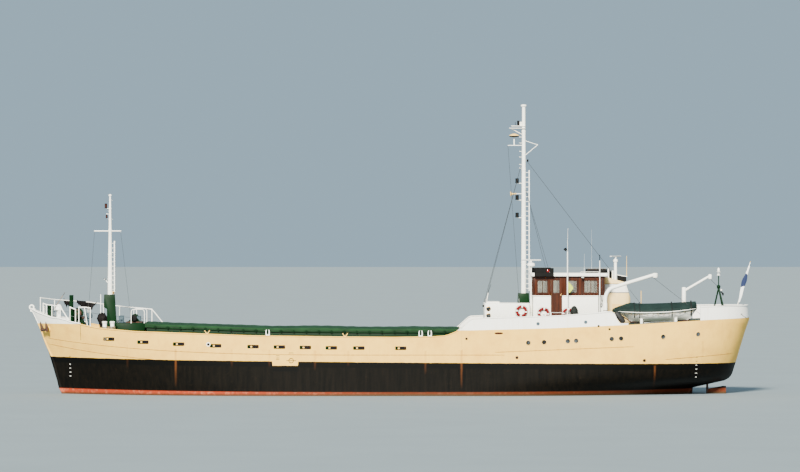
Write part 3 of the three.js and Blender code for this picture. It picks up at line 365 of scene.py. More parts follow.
def make(name, parts, slot=None, stands_for=None, body="ship", sharp=32, cutter=None):
    """One piece of the ship from pairs of a form and its finish."""
    finishes = []
    for _, finish in parts:
        if finish not in finishes:
            finishes.append(finish)
    mesh = bpy.data.meshes.new(name)
    points, faces = joined([form for form, _ in parts])
    mesh.from_pydata(points, [], faces)
    picks = [finishes.index(finish) for form, finish in parts for _ in form[1]]
    mesh.polygons.foreach_set("material_index", picks)
    for finish in finishes:
        mesh.materials.append(finish)
    wraps = [wrap for form, _ in parts for wrap in (form[2] if len(form) > 2 else [None] * len(form[1]))]
    if any(wraps):
        layer = mesh.uv_layers.new(name="wrap")
        for polygon, wrap in zip(mesh.polygons, wraps):
            for loop, place in zip(polygon.loop_indices, wrap or [(0.0, 0.0)] * polygon.loop_total):
                layer.data[loop].uv = place
    close_up(mesh, SEAM)
    made = placed_in_scene(name, mesh)
    if cutter:
        tool = make_plain("cutter", cutter)
        sawn = made.modifiers.new("openings", "BOOLEAN")
        sawn.operation, sawn.solver, sawn.object = "DIFFERENCE", "EXACT", tool
        finished(made)
        bpy.data.objects.remove(tool)
    smoothed(made, sharp)
    return dress(made, body, slot, stands_for)


def dress(made, body, slot, stands_for=None):
    """Says what a piece moves with and stands for; the slot that it would take its finish from is not used.
    """
    if isinstance(body, str):
        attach(made, body)
    else:
        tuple(body[2])
        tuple(body[3])
        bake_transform(made)
    if stands_for:
        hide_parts(stands_for)
    return made


# Materials.


def hex_colour(code):
    """An sRGB hex colour as the linear colour that a socket takes."""
    channels = [int(code[i:i + 2], 16) / 255 for i in (1, 3, 5)]
    return (*[c / 12.92 if c <= 0.04045 else ((c + 0.055) / 1.055) ** 2.4 for c in channels], 1.0)


def add(tree, kind, inputs=None, **settings):
    """A node with its settings, its values and its links. An input is a value, a socket, or a node."""
    made = tree.nodes.new(kind)
    for name, value in settings.items():
        setattr(made, name, value)
    for key, value in (inputs or {}).items():
        if isinstance(value, bpy.types.Node):
            value = value.outputs[0]
        if isinstance(value, bpy.types.NodeSocket):
            tree.links.new(value, made.inputs[key])
        else:
            made.inputs[key].default_value = hex_colour(value) if str(value)[0] == "#" else value
    return made


def start_material(name, roughness, metallic=0.0, ior=1.5, **sockets):
    """A material with its shader, and the place of each point in the ship's frame."""
    made = bpy.data.materials.new(name)
    made.use_nodes = True
    tree = made.node_tree
    tree.nodes.clear()
    values = {"Roughness": roughness, "Metallic": metallic, "IOR": ior, **sockets}
    shader = add(tree, "ShaderNodeBsdfPrincipled", values)
    add(tree, "ShaderNodeOutputMaterial", {"Surface": shader})
    place = add(tree, "ShaderNodeTexCoord").outputs["Object"]
    return made, tree, shader, place


def lead(tree, shader, nodes, height=None, depth=0.002, strength=0.5):
    """Leads nodes to sockets of the shader, and a height to its surface, as dents so deep."""
    if height:
        bump = {"Height": height, "Distance": depth, "Strength": strength}
        nodes["Normal"] = add(tree, "ShaderNodeBump", bump)
    for socket, node in nodes.items():
        tree.links.new(node.outputs[0], shader.inputs[socket])


def coats(tree, colour, layers):
    """Colours over one another. Each layer holds a value, where it begins and ceases to grow, how much
    it covers at most, and its colour."""
    for value, start, end, most, over in layers:
        ends = {"Value": value, "From Min": start, "From Max": end, "To Max": most}
        share = add(tree, "ShaderNodeMapRange", ends)
        colour = add(tree, "ShaderNodeMixRGB", {"Fac": share, "Color1": colour, "Color2": over})
    return colour


def weather(tree, shader, place, base, dirt, share=0.5, streak=0.35, rough=(0.4, 0.6), dents=0.002):
    """Paint that has stood outside: blotches as broad as a hand, runs of dirt downwards, and a slightly
    uneven surface. Returns the colour, for marks that lie over it."""
    blotch = add(
        tree, "ShaderNodeTexNoise", {"Vector": place, "Scale": 1.7, "Detail": 6.0, "Roughness": 0.6}
    )
    stretched = add(tree, "ShaderNodeMapping", {"Vector": place, "Scale": (9.0, 9.0, 0.7)})
    runs = add(
        tree, "ShaderNodeTexNoise", {"Vector": stretched, "Scale": 1.0, "Detail": 4.0, "Roughness": 0.7}
    )
    patches = add(
        tree, "ShaderNodeMapRange", {"Value": blotch, "From Min": 0.42, "From Max": 0.75, "To Max": share}
    )
    washed = add(
        tree, "ShaderNodeMapRange", {"Value": runs, "From Min": 0.52, "From Max": 0.8, "To Max": streak}
    )
    both = add(tree, "ShaderNodeMath", {0: patches, 1: washed}, operation="MAXIMUM")
    colour = add(tree, "ShaderNodeMixRGB", {"Fac": both, "Color1": base, "Color2": dirt})
    gloss = add(tree, "ShaderNodeMapRange", {"Value": runs, "To Min": rough[0], "To Max": rough[1]})
    dent = add(tree, "ShaderNodeTexNoise", {"Vector": place, "Scale": 2.3, "Detail": 2.0})
    lead(tree, shader, {"Base Color": colour, "Roughness": gloss}, dent, dents, 0.6)
    return colour


def polynomial(tree, x, factors):
    """The value of a polynomial of x, its factors from the highest power down."""
    value = factors[0]
    for factor in factors[1:]:
        power = add(tree, "ShaderNodeMath", {0: x, 1: value, 2: factor}, operation="MULTIPLY_ADD")
        value = power.outputs[0]
    return value


# Paint that stood outside: its colour, dirt, share of the dirt in blotches and in runs, and roughness.
# All are satin oil paints: broad soft highlights, dulled where they are dirty.
PAINTS = {
    "deck": ("#37463c", "#4e3522", 0.55, 0.2, (0.55, 0.8)),
    "white": ("#faf8ef", "#c9b997", 0.16, 0.26, (0.35, 0.5)),
    "cream": ("#f2c66c", "#b98c50", 0.25, 0.3, (0.38, 0.5)),
    "green": ("#03230b", "#08120a", 0.5, 0.3, (0.35, 0.55)),
    "grey": ("#46565e", "#31393c", 0.4, 0.3, (0.4, 0.6)),
    "black": ("#0b0b0b", "#221d18", 0.35, 0.25, (0.4, 0.6)),
    "red": ("#6a1214", "#481012", 0.35, 0.2, (0.4, 0.55)),
    "brown": ("#3c1c12", "#1e110c", 0.5, 0.3, (0.45, 0.65)),
}
OIL_PAINT = {"Specular IOR Level": 0.08}


def oil_paint(name, base, dirt, blotches, runs, rough):
    """One of the ship's paints, weathered."""
    made, tree, shader, place = start_material(name + " paint", rough[0], **OIL_PAINT)
    weather(tree, shader, place, base, dirt, blotches, runs, rough)
    return made


DECK, WHITE, CREAM, GREEN, GREY, BLACK, RED, BROWN = (oil_paint(n, *values) for n, values in PAINTS.items())

# Where the paint of the sides changes along the ship, as factors of x from the highest power down.
BLACK_TOP = (0.000225, 0.00853, 1.66)
RED_TOP = (0.00035, 0.0, 0.19)
PATCH = {"aft": 4.5, "fore": 5.77, "low": 1.5}
# The white starts abaft this x on the poop, and before the other on the fore deck, above these heights.
WHITE_AFT = {"x": (-2.1, -2.15), "z": (3.24, 3.25)}
WHITE_BOW = {"x": (15.3, 15.32), "z": 3.53}
FRAME_SPACING = 0.55
# Plate edges: factors of x, and the x between which each shows.
SEAMS = [
    ((0.000155, 0.0, 0.0, 2.03), 0.0, 17.0),
    ((0.0, 2.03), -5.6, 0.0),
    ((0.000215, 0.0, 0.0, 1.45), 11.0, 16.9),
    ((-0.041, 1.95), -12.0, -5.3),
    ((-0.076, 0.764), -17.0, -13.7),
]
# Runs of rust: x, where each starts, how far down it goes and how strong it is.
RUST_RUNS = [
    (10.58, 2.32, 1.9, 0.8), (7.8, 2.3, 0.9, 0.4), (5.94, 2.3, 0.9, 0.5), (3.69, 2.25, 1.0, 0.5),
    (2.05, 2.25, 0.8, 0.5), (-1.76, 2.25, 1.2, 0.6), (-3.54, 2.3, 1.95, 1.0), (-13.1, 1.5, 1.2, 0.5),
    (-15.5, 2.7, 1.1, 0.5), (-9.4, 2.5, 0.7, 0.3), (-6.97, 2.4, 0.6, 0.3), (13.0, 2.5, 1.2, 0.3),
]


def between(tree, value, low, high, soft=0.01):
    """One where a value lies between two others, with soft edges."""
    start = add(
        tree, "ShaderNodeMapRange", {"Value": value, "From Min": low - soft, "From Max": low + soft}
    )
    end = add(
        tree, "ShaderNodeMapRange", {"Value": value, "From Min": high + soft, "From Max": high - soft}
    )
    return add(tree, "ShaderNodeMath", {0: start, 1: end}, operation="MULTIPLY")


def above(tree, z, line, soft=0.008):
    """One where z is above a line."""
    over = add(tree, "ShaderNodeMath", {0: z, 1: line}, operation="SUBTRACT")
    return add(tree, "ShaderNodeMapRange", {"Value": over, "From Min": -soft, "From Max": soft})


def rust_runs(tree, x, z, ragged):
    """How much rust runs down at each of the places of RUST_RUNS."""
    total = 0.0
    for centre, start, fall, strength in RUST_RUNS:
        off = add(tree, "ShaderNodeMath", {0: x, 1: centre}, operation="SUBTRACT")
        off = add(tree, "ShaderNodeMath", {0: ragged, 1: 0.05, 2: off}, operation="MULTIPLY_ADD")
        off = add(tree, "ShaderNodeMath", {0: off}, operation="ABSOLUTE")
        run = add(tree, "ShaderNodeMapRange", {"Value": off, "From Min": 0.075, "From Max": 0.015})
        for low, high in ((start - fall, start), (start + 0.01, start - 0.02)):
            share = add(tree, "ShaderNodeMapRange", {"Value": z, "From Min": low, "From Max": high})
            run = add(tree, "ShaderNodeMath", {0: run, 1: share}, operation="MULTIPLY")
        total = add(tree, "ShaderNodeMath", {0: run, 1: strength, 2: total}, operation="MULTIPLY_ADD")
    return total


def start_side(name):
    """The start of the side's paints: weathered cream, the axes, raggedness, and runs of dirt."""
    made, tree, shader, place = start_material(name, 0.45, **{"Specular IOR Level": 0.06})
    cream = weather(tree, shader, place, "#f4c25a", "#c98f3e", 0.4, 0.4, (0.45, 0.6), 0.004)
    x, _, z = add(tree, "ShaderNodeSeparateXYZ", {"Vector": place}).outputs
    ragged = add(
        tree, "ShaderNodeTexNoise", {"Vector": place, "Scale": 4.0, "Detail": 8.0, "Roughness": 0.7}
    )
    tall = add(tree, "ShaderNodeMapping", {"Vector": place, "Scale": (7.0, 7.0, 0.5)})
    runs = add(tree, "ShaderNodeTexNoise", {"Vector": tall, "Scale": 1.0, "Detail": 7.0, "Roughness": 0.72})
    return made, tree, shader, cream, x, z, ragged, runs


def bulwark_paint():
    """Cream along the main deck, and white on the poop and round the bow."""
    made, tree, shader, cream, x, z, _, runs = start_side("bulwark paint")
    corners = []
    for value, (start, end) in ((x, WHITE_AFT["x"]), (z, WHITE_AFT["z"]), (x, WHITE_BOW["x"])):
        ends = {"Value": value, "From Min": start, "From Max": end}
        corners.append(add(tree, "ShaderNodeMapRange", ends))
    corners.append(above(tree, z, WHITE_BOW["z"]))
    aft, bow = (
        add(tree, "ShaderNodeMath", {0: a, 1: b}, operation="MULTIPLY")
        for a, b in (corners[:2], corners[2:])
    )
    high = add(tree, "ShaderNodeMath", {0: aft, 1: bow}, operation="MAXIMUM")
    white = coats(tree, "#fbf8f0", [(runs, 0.5, 0.8, 0.35, "#d6c298")])
    colour = add(tree, "ShaderNodeMixRGB", {"Fac": high, "Color1": cream, "Color2": white})
    lead(tree, shader, {"Base Color": colour})
    return made


def hull_paint():
    """Cream over black over red on the plating, with its plate edges, rust and frames."""
    made, tree, shader, cream, x, z, ragged, runs = start_side("hull paint in bands")
    wavy = add(tree, "ShaderNodeMath", {0: ragged, 1: 0.05, 2: -0.025}, operation="MULTIPLY_ADD")
    height = add(tree, "ShaderNodeMath", {0: z, 1: wavy})
    patch = between(tree, x, PATCH["aft"], PATCH["fore"])
    line = polynomial(tree, x, BLACK_TOP)
    line = add(tree, "ShaderNodeMix", {"Factor": patch, "A": line, "B": PATCH["low"]})
    # The black: newer paint along its top, then mottled brown with runs and pale scuffs.
    black = coats(
        tree, "#060605", [(runs, 0.35, 0.75, 1.0, "#15110c"), (ragged, 0.6, 0.75, 0.5, "#241c13")]
    )
    fresh = add(tree, "ShaderNodeMath", {0: line, 1: -0.28})
    fresh = above(tree, height, fresh, 0.03)
    black = add(tree, "ShaderNodeMixRGB", {"Fac": fresh, "Color1": black, "Color2": "#080807"})
    # The red below it: scuffed pink, rusty, worn away aft, and fouled at the water.
    red = coats(tree, "#9c3a22", [
        (ragged, 0.5, 0.7, 1.0, "#bd6c50"), (runs, 0.55, 0.7, 0.8, "#7b3a22"),
        (x, 9.0, 0.0, 0.8, "#452614"),
        (height, 0.14, 0.05, 0.85, "#3f3522"), (height, 0.02, -0.2, 0.7, "#7d2f22"),
    ])
    low = above(tree, height, polynomial(tree, x, RED_TOP), 0.02)
    dark = add(tree, "ShaderNodeMixRGB", {"Fac": low, "Color1": red, "Color2": black})
    # Plate edges: a thin rusty line, broken where the paint still holds.
    edges = 0.0
    for factors, aft, fore in SEAMS:
        off = add(tree, "ShaderNodeMath", {0: z, 1: polynomial(tree, x, factors)}, operation="SUBTRACT")
        off = add(tree, "ShaderNodeMath", {0: off}, operation="ABSOLUTE")
        edge = add(tree, "ShaderNodeMapRange", {"Value": off, "From Min": 0.02, "From Max": 0.008})
        edge = add(
            tree, "ShaderNodeMath", {0: edge, 1: between(tree, x, aft, fore, 0.1)}, operation="MULTIPLY"
        )
        edges = add(tree, "ShaderNodeMath", {0: edge, 1: edges}, operation="MAXIMUM")
    broken = add(
        tree, "ShaderNodeMapRange", {"Value": runs, "From Min": 0.3, "From Max": 0.6, "To Max": 0.75}
    )
    edges = add(tree, "ShaderNodeMath", {0: edges, 1: broken}, operation="MULTIPLY")
    colour = add(tree, "ShaderNodeMixRGB", {"Fac": edges, "Color1": cream, "Color2": "#a8642c"})
    rust = rust_runs(tree, x, z, ragged)
    rust = add(tree, "ShaderNodeMath", {0: rust, 1: runs}, operation="MULTIPLY", use_clamp=True)
    top = above(tree, height, line)
    colour = add(tree, "ShaderNodeMixRGB", {"Fac": top, "Color1": dark, "Color2": colour})
    colour = add(tree, "ShaderNodeMixRGB", {"Fac": rust, "Color1": colour, "Color2": "#9a5a2c"})
    # Frames show through the plating as hollows, and knocks lie all over it.
    frames = add(tree, "ShaderNodeMath", {0: x, 1: 2 * pi / FRAME_SPACING}, operation="MULTIPLY")
    frames = add(tree, "ShaderNodeMath", {0: frames}, operation="COSINE")
    hollow = add(tree, "ShaderNodeMath", {0: frames, 1: 0.0012, 2: edges}, operation="MULTIPLY_ADD")
    knocks = add(tree, "ShaderNodeMath", {0: ragged, 1: 0.01, 2: hollow}, operation="MULTIPLY_ADD")
    lead(tree, shader, {"Base Color": colour}, knocks, 1.0)
    return made


def metal(name, base, rust, amount, rough, metallic=1.0):
    """Bare or thinly painted metal, rough where it rusts."""
    made, tree, shader, place = start_material(name, rough, metallic)
    spots = add(
        tree, "ShaderNodeTexNoise", {"Vector": place, "Scale": 14.0, "Detail": 8.0, "Roughness": 0.7}
    )
    ends = {"Value": spots, "From Min": 0.7 - amount / 2, "From Max": 0.8 - amount / 2}
    rusty = add(tree, "ShaderNodeMapRange", ends)
    colour = add(tree, "ShaderNodeMixRGB", {"Fac": rusty, "Color1": base, "Color2": rust})
    gloss = add(tree, "ShaderNodeMapRange", {"Value": rusty, "To Min": rough, "To Max": 0.85})
    bare = add(tree, "ShaderNodeMapRange", {"Value": rusty, "To Min": metallic, "To Max": 0.0})
    lead(tree, shader, {"Base Color": colour, "Roughness": gloss, "Metallic": bare}, spots)
    return made


def wood(name, pale, dark, boards, coat):
    """Varnished boards standing on end: the grain runs up, and a groove parts each from the next."""
    varnish = {"Specular IOR Level": 0.15, "Coat Weight": coat, "Coat Roughness": 0.12}
    made, tree, shader, place = start_material(name, 0.4, **varnish)
    x, y, _ = add(tree, "ShaderNodeSeparateXYZ", {"Vector": place}).outputs
    across = add(tree, "ShaderNodeMath", {0: x, 1: y})
    board = add(tree, "ShaderNodeMath", {0: across, 1: boards}, operation="DIVIDE")
    number = add(tree, "ShaderNodeMath", {0: board}, operation="FLOOR")
    tint = add(tree, "ShaderNodeTexWhiteNoise", {"W": number}, noise_dimensions="1D")
    stretched = add(tree, "ShaderNodeMapping", {"Vector": place, "Scale": (60.0, 60.0, 3.0)})
    shifted = add(tree, "ShaderNodeVectorMath", {0: stretched, 1: tint.outputs["Color"]}, operation="ADD")
    grain = add(
        tree, "ShaderNodeTexNoise", {"Vector": shifted, "Scale": 1.0, "Detail": 5.0, "Distortion": 0.6}
    )
    mixed = add(
        tree, "ShaderNodeMath", {0: tint.outputs["Value"], 1: 0.35, 2: grain}, operation="MULTIPLY_ADD"
    )
    colour = coats(tree, dark, [(mixed, 0.35, 1.0, 1.0, pale)])
    edge = add(tree, "ShaderNodeMath", {0: board}, operation="FRACT")
    edge = add(tree, "ShaderNodeMath", {0: edge, 1: 0.5}, operation="SUBTRACT")
    edge = add(tree, "ShaderNodeMath", {0: edge}, operation="ABSOLUTE")
    groove = add(tree, "ShaderNodeMapRange", {"Value": edge, "From Min": 0.44, "From Max": 0.49})
    colour = add(tree, "ShaderNodeMixRGB", {"Fac": groove, "Color1": colour, "Color2": "#1d0f08"})
    depth = add(tree, "ShaderNodeMath", {0: grain, 1: groove}, operation="SUBTRACT")
    lead(tree, shader, {"Base Color": colour}, depth, 0.0015, 0.6)
    return made


def canvas(name, base, faded, weave=0.003):
    """Waxed canvas: a fine weave with broad faded and damp patches, and a soft sheen."""
    made, tree, shader, place = start_material(name, 0.75, **{"Specular IOR Level": 0.2})
    blotch = add(
        tree, "ShaderNodeTexNoise", {"Vector": place, "Scale": 1.3, "Detail": 6.0, "Roughness": 0.6}
    )
    colour = coats(tree, base, [(blotch, 0.35, 0.7, 1.0, faded)])
    warp, weft = (
        add(tree, "ShaderNodeTexWave", {"Vector": place, "Scale": 0.31 / weave}, bands_direction=way)
        for way in ("X", "DIAGONAL")
    )
    threads = add(tree, "ShaderNodeMath", {0: warp, 1: weft}, operation="MULTIPLY")
    folds = add(
        tree, "ShaderNodeTexNoise", {"Vector": place, "Scale": 5.0, "Detail": 4.0, "Roughness": 0.5}
    )
    height = add(tree, "ShaderNodeMath", {0: folds, 1: 10.0, 2: threads}, operation="MULTIPLY_ADD")
    lead(tree, shader, {"Base Color": colour}, height)
    return made


def clear(name, tint, through, rough=0.03):
    """Glass: mostly a reflection of the sky, tinted, and dull where salt has dried on it."""
    made, tree, shader, place = start_material(name, rough, ior=1.52, **{"Transmission Weight": through})
    film = add(tree, "ShaderNodeTexNoise", {"Vector": place, "Scale": 3.0, "Detail": 5.0})
    gloss = add(tree, "ShaderNodeMapRange", {"Value": film, "To Min": rough, "To Max": rough + 0.08})
    colour = coats(tree, tint, [(film, 0.5, 0.8, 0.3, "#9aa5a8")])
    lead(tree, shader, {"Base Color": colour, "Roughness": gloss})
    return made


def laid_rope(name, pale, dark, strands):
    """Three-strand rope or wire, its lay drawn on the wrap of the tube, with painted shade in the grooves
    between strands.
    """
    made, tree, shader, _ = start_material(name, 0.7)
    wrap = add(tree, "ShaderNodeSeparateXYZ", {"Vector": add(tree, "ShaderNodeTexCoord").outputs["UV"]})
    along = add(tree, "ShaderNodeMath", {0: wrap.outputs["Y"], 1: strands}, operation="DIVIDE")
    lay = add(tree, "ShaderNodeMath", {0: wrap.outputs["X"], 1: along})
    lay = add(tree, "ShaderNodeMath", {0: lay, 1: 3 * 2 * pi}, operation="MULTIPLY")
    ridge = add(tree, "ShaderNodeMath", {0: lay}, operation="SINE")
    # Painted shade: the colour follows the lay's height, dark in the grooves and pale on the strands'
    # crowns.
    colour = coats(tree, dark, [(ridge, -1.0, 0.4, 1.0, pale)])
    lead(tree, shader, {"Base Color": colour}, ridge, strands / 8, 0.8)
    return made


HULL_PAINT, BULWARK_PAINT = hull_paint(), bulwark_paint()
# Iron that lives wet: a dark scale with orange rust breaking through, dull to the eye.
IRON = metal("rusty iron", "#231d1a", "#4c2c1a", 0.55, 0.6, 0.4)
# Galvanised wire and fittings: dull grey with a soft glint.
ZINC = metal("galvanised steel", "#8d9192", "#7a5a40", 0.2, 0.45)
# Screw bronze polished by the water it turns in.
BRONZE = metal("screw bronze", "#a8783c", "#56705a", 0.35, 0.3)
BRASS = metal("brass rims", "#b08a48", "#5a5038", 0.3, 0.3)
ALLOY = metal("painted alloy", "#c9ccca", "#9a9a92", 0.3, 0.4, 0.3)
# Iroko under old varnish: red-brown with a wet gloss.
VARNISH = wood("varnished iroko", "#4c2008", "#1f0c04", 0.095, 0.04)
BARE_WOOD = wood("scrubbed oak", "#a8845a", "#6a4c30", 0.12, 0.0)
TARPAULIN = canvas("green tarpaulin", "#05280c", "#123a1a")
BOAT_CANVAS = canvas("boat cover canvas", "#0b1a17", "#172a26")
DARK_CANVAS = canvas("dark canvas", "#0a0d0b", "#171c18")
GLASS = clear("window glass", "#e6ddcb", 0.92)
# Glass of the small ports, black as painted shade: it stands for the dark rooms behind.
DARK_GLASS = clear("dark port glass", "#07090a", 0.0)
LENS_CLEAR, LENS_RED, LENS_GREEN = (
    clear(n, c, 0.6)
    for n, c in [("clear lens", "#d8dcd8"), ("red lens", "#c01818"), ("green lens", "#108a3a")]
)
ROPE = laid_rope("manila rope", "#a08a62", "#4a3d28", 0.05)
WIRE = laid_rope("wire rope", "#3c3e3e", "#181919", 0.03)
RUBBER = metal("black rubber", "#141414", "#2c2a28", 0.3, 0.7, 0.0)


# The hull's surface.
HEIGHTS = [row[0] for row in WATERLINES]


def slopes_of(values):
    """Slopes at the rows, so that the curve through a column never runs past its values."""
    gaps = [high - low for low, high in zip(HEIGHTS, HEIGHTS[1:])]
    rises = [(high - low) / gap for low, high, gap in zip(values, values[1:], gaps)]
    slopes = [rises[0]]
    for i in range(1, len(rises)):
        before, after = rises[i - 1], rises[i]
        if before * after <= 0:
            slopes.append(0.0)
            continue
        low, high = 2 * gaps[i] + gaps[i - 1], gaps[i] + 2 * gaps[i - 1]
        slopes.append((low + high) / (low / before + high / after))
    return slopes + [rises[-1]]


COLUMNS = [[row[i] for row in WATERLINES] for i in range(1, len(WATERLINES[0]))]
SLOPES = [slopes_of(column) for column in COLUMNS]
RAKE_SHARE, AFT_END, STEM_END = 0, 1, 2
known_rows = {}


def row_at(h):
    """The waterline at any height, on a smooth curve through the rows."""
    h = round(min(max(h, HEIGHTS[0]), HEIGHTS[-1]), 5)
    if h not in known_rows:
        i = min(bisect.bisect_right(HEIGHTS, h), len(HEIGHTS) - 1) - 1
        gap = HEIGHTS[i + 1] - HEIGHTS[i]
        t = (h - HEIGHTS[i]) / gap
        here, there = (1 + 2 * t) * (1 - t) ** 2, t * t * (3 - 2 * t)
        rise, fall = t * (1 - t) ** 2 * gap, t * t * (t - 1) * gap
        known_rows[h] = [
            here * c[i] + rise * s[i] + there * c[i + 1] + fall * s[i + 1] for c, s in zip(COLUMNS, SLOPES)
        ]
    return known_rows[h]


def breadth(h, x):
    """Half the hull's breadth at a height and an x."""
    _, aft_end, stem, half, aft_from, aft_power, aft_full, fore_from, fore_power, fore_full = row_at(h)
    start, end, power, fullness = fore_from, stem, fore_power, fore_full
    if x < aft_from:
        start, end, power, fullness = aft_from, aft_end, aft_power, aft_full
    elif x < fore_from:
        return half
    run = min(1.0, (x - start) / (end - start))
    return max(KEEL_HALF, half * (1 - run ** power) ** fullness)


# The sides run straight between these x. Beyond them a station leans with the ends, but stands upright at
# the breaks, where the knuckles are. The tips are taken at the height of the fore deck.
STRAIGHT = 12.0
KNUCKLES = {AFT_END: -15.4, STEM_END: FORE_BREAK}
TIPS = {column: row_at(FORE_DECK)[column] for column in KNUCKLES}


def hull_x(h, station):
    """Where a station lies at a height."""
    if abs(station) <= STRAIGHT:
        return station
    column = STEM_END if station > 0 else AFT_END
    start, knuckle, top_tip = copysign(STRAIGHT, station), KNUCKLES[column], TIPS[column]
    tip = row_at(h)[column]
    drawn_in = start + (knuckle - start) * (tip - start) / (top_tip - start)
    lift = min(1.0, max(0.0, (h - 1.5) / 0.7))
    lift = lift * lift * (3 - 2 * lift)
    turn = drawn_in + (knuckle - drawn_in) * lift
    if abs(station) <= abs(knuckle):
        return start + (station - start) / (knuckle - start) * (turn - start)
    return turn + (station - knuckle) / (top_tip - knuckle) * (tip - turn)


def line_at(line, x):
    """The height of a line of x and z at an x."""
    line = sorted(line)
    for (x0, z0), (x1, z1) in zip(line, line[1:]):
        if x <= x1:
            return z0 + (z1 - z0) * max(0.0, (x - x0) / (x1 - x0))
    return line[-1][1]


def deck_at(x):
    """The height of the deck's edge at an x."""
    if x > FORE_BREAK:
        return FORE_DECK
    return line_at(POOP_DECK if x < POOP_BREAK else MAIN_DECK, x)


def on_hull(h, x, out=0.0, side=1):
    """A point on the hull's side, or out from it."""
    step = 0.02
    normal = Vector((
        (breadth(h, x - step) - breadth(h, x + step)) / (2 * step), 1.0,
        (breadth(h - step, x) - breadth(h + step, x)) / (2 * step),
    )).normalized()
    point = Vector((x, breadth(h, x), h + row_at(h)[RAKE_SHARE] * KEEL_RAKE * x)) + normal * out
    return Vector((point.x, side * point.y, point.z)), Vector((normal.x, side * normal.y, normal.z))


def eased(start, end, count):
    """Numbers from start to end, closer together towards the end."""
    return [start + (end - start) * sin(pi / 2 * i / count) for i in range(count + 1)]


def hull_shell():
    """The plating and the decks of the hull, as two forms on the same points."""
    step = 0.001
    aft = eased(-STRAIGHT, TIPS[AFT_END], 34)[::-1]
    middle = [-STRAIGHT + i * 0.5 for i in range(1, 48)]
    middle = [x for x in middle if abs(x - POOP_BREAK) > 0.1] + [POOP_BREAK - step, POOP_BREAK + step]
    fore = [STRAIGHT + (FORE_BREAK - step - STRAIGHT) * i / 12 for i in range(13)]
    stations = sorted(aft + middle + fore) + eased(FORE_BREAK + step, TIPS[STEM_END], 26)
    low = [
        -1.555, -1.5, -1.4, -1.25, -1.05, -0.8, -0.5, -0.25, 0.0, 0.16, 0.31, 0.39, 0.47, 0.56, 0.66,
        0.78, 0.9, 1.05, 1.2, 1.4,
    ]
    rings = []
    tip_rounds = [(1.0, 0.0), (0.85, 0.02), (0.4, 0.035)]
    for index, station in enumerate(stations):
        at_end = index in (0, len(stations) - 1)
        deck = deck_at(station)
        levels = low + [low[-1] + (deck - low[-1]) * i / 16 for i in range(1, 17)]
        for share, reach in tip_rounds if at_end else tip_rounds[:1]:
            port = []
            for h in reversed(levels):
                x = hull_x(h, station)
                lean = row_at(h)[RAKE_SHARE] * KEEL_RAKE * x
                port.append(Vector((x + copysign(reach, station), breadth(h, x) * share, h + lean)))
            rings.append(port + [Vector((p.x, -p.y, p.z)) for p in reversed(port)])
        if index == 0:
            rings.reverse()
    points, faces = loft(rings)
    count = len(rings[0])
    decks = [face for i, face in enumerate(faces) if i % count == count - 1 and len(face) == 4]
    plating = [face for i, face in enumerate(faces) if i % count != count - 1 or len(face) != 4]
    return (points, plating), (points, decks)


def side_line(stations, height):
    """Points on the port side at stations, at a height that depends on x."""
    points = []
    for station in stations:
        x = station
        for _ in range(3):
            x = hull_x(height(x), station)
        points.append(Vector((x, breadth(height(x), x), height(x))))
    return points


def inward(line):
    """The way towards the ship's inside along a line that has it on the right hand."""
    ways = []
    for i in range(len(line)):
        along = line[min(i + 1, len(line) - 1)] - line[max(i - 1, 0)]
        ways.append(Vector((along.y, -along.x, 0.0)).normalized())
    return ways


def round_bow(line):
    """A line on the port side led round the stem and back on the other side."""
    return line + mirrored((line[::-1], []))[0]


def round_stern(line):
    """The same round the stern, from the starboard side to the port side."""
    return mirrored((line[::-1], []))[0] + line


def plate_wall(lines, thick):
    """A plate whose outer face runs through lines from its foot to its head."""
    ways = [inward(line) for line in lines]
    rings = []
    for i in range(len(lines[0])):
        outer = [line[i] for line in lines]
        inner = [line[i] + way[i] * thick for line, way in zip(lines, ways)]
        rings.append(outer + inner[::-1])
    return loft(rings)


def sweep(line, section, closed=False):
    """A bar along a line: its section holds pairs of inward and up."""
    ways = inward(line)
    rings = [[p + way * u + Vector((0, 0, v)) for u, v in section] for p, way in zip(line, ways)]
    return loft(rings, closed=closed)


PLATE = 0.045
RAIL_CAP = [
    (-0.03, -0.037), (-0.03, -0.01), (-0.02, 0.0), (0.065, 0.0),
    (0.075, -0.01), (0.075, -0.037), (0.067, -0.045), (-0.022, -0.045),
]


def side_wall(stations, foot, top, shape=lambda line: line, levels=5):
    """A bulwark and the cap along its top."""
    lines = []
    for i in range(levels + 1):
        share = i / levels
        lines.append(shape(side_line(stations, lambda x: foot(x) + (top(x) - 0.02 - foot(x)) * share)))
    head = shape(side_line(stations, top))
    return plate_wall(lines, PLATE), sweep(head, RAIL_CAP)


# Rows of like pieces along a path, by geometry nodes.


